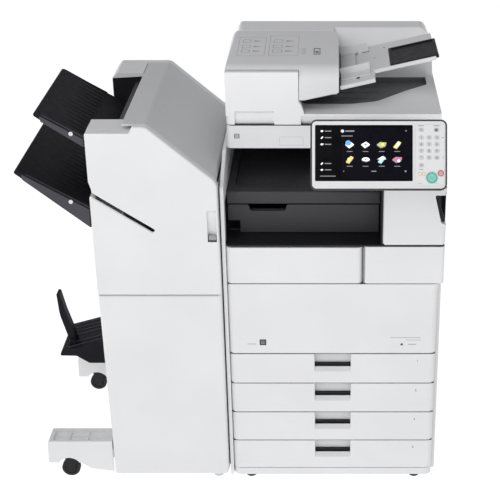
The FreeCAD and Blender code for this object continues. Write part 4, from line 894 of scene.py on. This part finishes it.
def finisher_details():
    """Black box of painted shade behind the slanting slit, a grey strip of painted shade on its lower
    bevel, the door's catch, and a black sheet of painted shade behind the paper exit.
    """
    start = Vector((-640, 909))
    end = Vector((-465, 793))
    along = (end - start).normalized()
    across = Vector((-along.y, along.x))
    corners = [start - across * 12, end - across * 12, end + across * 12, start + across * 12]
    # Black box behind the slit: painted shade.
    bm = bmesh.new()
    prism(bm, [(max(p.x, -624), p.y) for p in corners], -14, -9, ON_COVERS, 0)
    piece("slit_shade", bm, BLACK, "finisher_door")
    # Flat grey strip along the slit's lower edge: painted shade of its bevel.
    lip = bmesh.new()
    edge = [
        start + along * 30 - across * 5, end - across * 5.2,
        end - across * 8.4, start + along * 26 - across * 8.4,
    ]
    prism(lip, [(p.x, p.y) for p in edge], -0.1, 0.35, ON_FINISHER)
    piece("slit_bevel_shade", lip, LIGHT, "finisher_door")
    catch = bmesh.new()
    finger = rounded([(-325, 765, 1), (-305, 765, 1), (-305, 776, 2), (-325, 779, 2)])
    prism(catch, finger, -16, -4, ON_FINISHER, 0)
    prism(catch, rectangle(-326, -304, 762.4, 764.6), -17, -1, ON_FINISHER, 1)
    piece("door_catch", catch, [GREY, DARK], "finisher_door", 0.5)
    # Black sheet behind the paper exit: painted shade.
    shade_sheet = bmesh.new()
    side = rounded([
        (-625.5, 612, 0), (-549.5, 612, 0), (-549.5, 1046, 0),
        (-537.5, 1048, 0), (-537.5, 1069, 0), (-625.5, 1064, 1),
    ])
    prism(shade_sheet, side, 0.1, 1.4, facing_front(439))
    piece("exit_shade", shade_sheet, BLACK, "finisher")


def stack_surface(z_root):
    """Drawing plane on a stacking tray: left from its root, back, and up out of its slope."""
    cosine = math.cos(STACK_SLOPE)
    sine = math.sin(STACK_SLOPE)
    return lambda a, b, c: at(
        STACK_ROOT - a * cosine + c * sine, b, z_root + a * sine + c * cosine
    )


def stacking_details():
    """Ribs, raised sides and ends, front lips and round buttons of the two stacking trays."""
    for name, z_root, length, depth, skirt, button in (
        ("upper_tray", 1042, 136, 375, 24, (-664, 1056)),
        ("lower_tray", 848, 208, 400, 54, (-680, 869)),
    ):
        surface = stack_surface(z_root)
        bm = bmesh.new()
        count = int(depth / 26)
        for k in range(1, count):
            b = 14 + k * (depth - 24) / count
            prism(bm, rectangle(4, length - 14, b - 2, b + 2, 1.9), -0.5, 1.9, surface, 0)
        prism(bm, rectangle(0, length - 2, 2, 9, 2), -0.5, 2.6, surface, 1)
        prism(bm, rectangle(0, length - 12, depth - 9, depth - 3, 2), -0.5, 2.6, surface, 0)
        prism(bm, rectangle(length - 10, length - 3, 14, depth - 26, 3), -0.5, 3.4, surface, 0)
        piece(f"{name}_ribs", bm, [TRAY, DARK], name, 0.5)
        rise = math.tan(STACK_SLOPE)
        face = bmesh.new()
        tip = STACK_ROOT - length * math.cos(STACK_SLOPE)
        prism(face, rounded([
            (STACK_ROOT - 2, 1 + z_root - skirt, 1),
            (STACK_ROOT - 2, z_root - 1, 1),
            (tip + 9, z_root + (STACK_ROOT - tip - 9) * rise - 1, 2),
            (tip + 12, z_root + (STACK_ROOT - tip - 12) * rise - 15, 2),
        ]), -0.2, 0.9, ON_COVERS)
        piece(f"{name}_lip", face, TRAY_LIP, name, 0.4)
        a, b = button
        knob = bmesh.new()
        lathe(knob, [(0, 0.8), (5.6, 0.8), (5.6, 2.2), (4.8, 3.0), (2.4, 3.0), (2.2, 2.2), (0, 2.2)],
              lambda x, y, c: ON_COVERS(a + x, b + y, c), 24)
        piece(f"{name}_button", knob, WHITE, name)


def booklet_details():
    """Guide ribs on the booklet tray."""
    slope = math.atan2(BOOKLET_ROOT[1] - BOOKLET_TIP[1], BOOKLET_ROOT[0] - BOOKLET_TIP[0])
    cosine = math.cos(slope)
    sine = math.sin(slope)

    def tray(a, b, c):
        return at(BOOKLET_ROOT[0] - a * cosine - c * sine, b, BOOKLET_ROOT[1] - a * sine + c * cosine)

    bm = bmesh.new()
    for b in (222, 246, 290, 314, 338, 360):
        prism(bm, rectangle(8, 156, b - 1.5, b + 1.5, 1.4), -0.4, 1.6, tray)
    piece("booklet_ribs", bm, TRAY_LIP, "finisher", 0.4)


def caster_details():
    """Hub caps on both sides of the two casters' wheels."""
    cap = [(0, 9.4), (9.5, 9.4), (9.5, 10.6), (7.5, 11.4), (3.6, 11.6), (0, 11.6)]
    for name, middle in (("front", 25.5), ("rear", 502.5)):
        for side, label in ((-1, "a"), (1, "b")):
            def beside(x, z, c):
                return at(WHEEL_CENTRE[0] + x, middle + side * c, WHEEL_CENTRE[1] + z)

            bm = bmesh.new()
            lathe(bm, cap, beside, 24)
            piece(f"caster_hub_{name}_{label}", bm, GREY, f"caster_wheel_{name}")


# ---- the whole scene ----------------------------------------------------------------------------

finish_nodes()
panel_rim()
display()
key_block()
seam_strips()
cassette_details()
front_marks()
hood_marks()
output_bed()
cavity_details()
feed_inlet()
fasteners()
finisher_details()
stacking_details()
booklet_details()
caster_details()
studio()
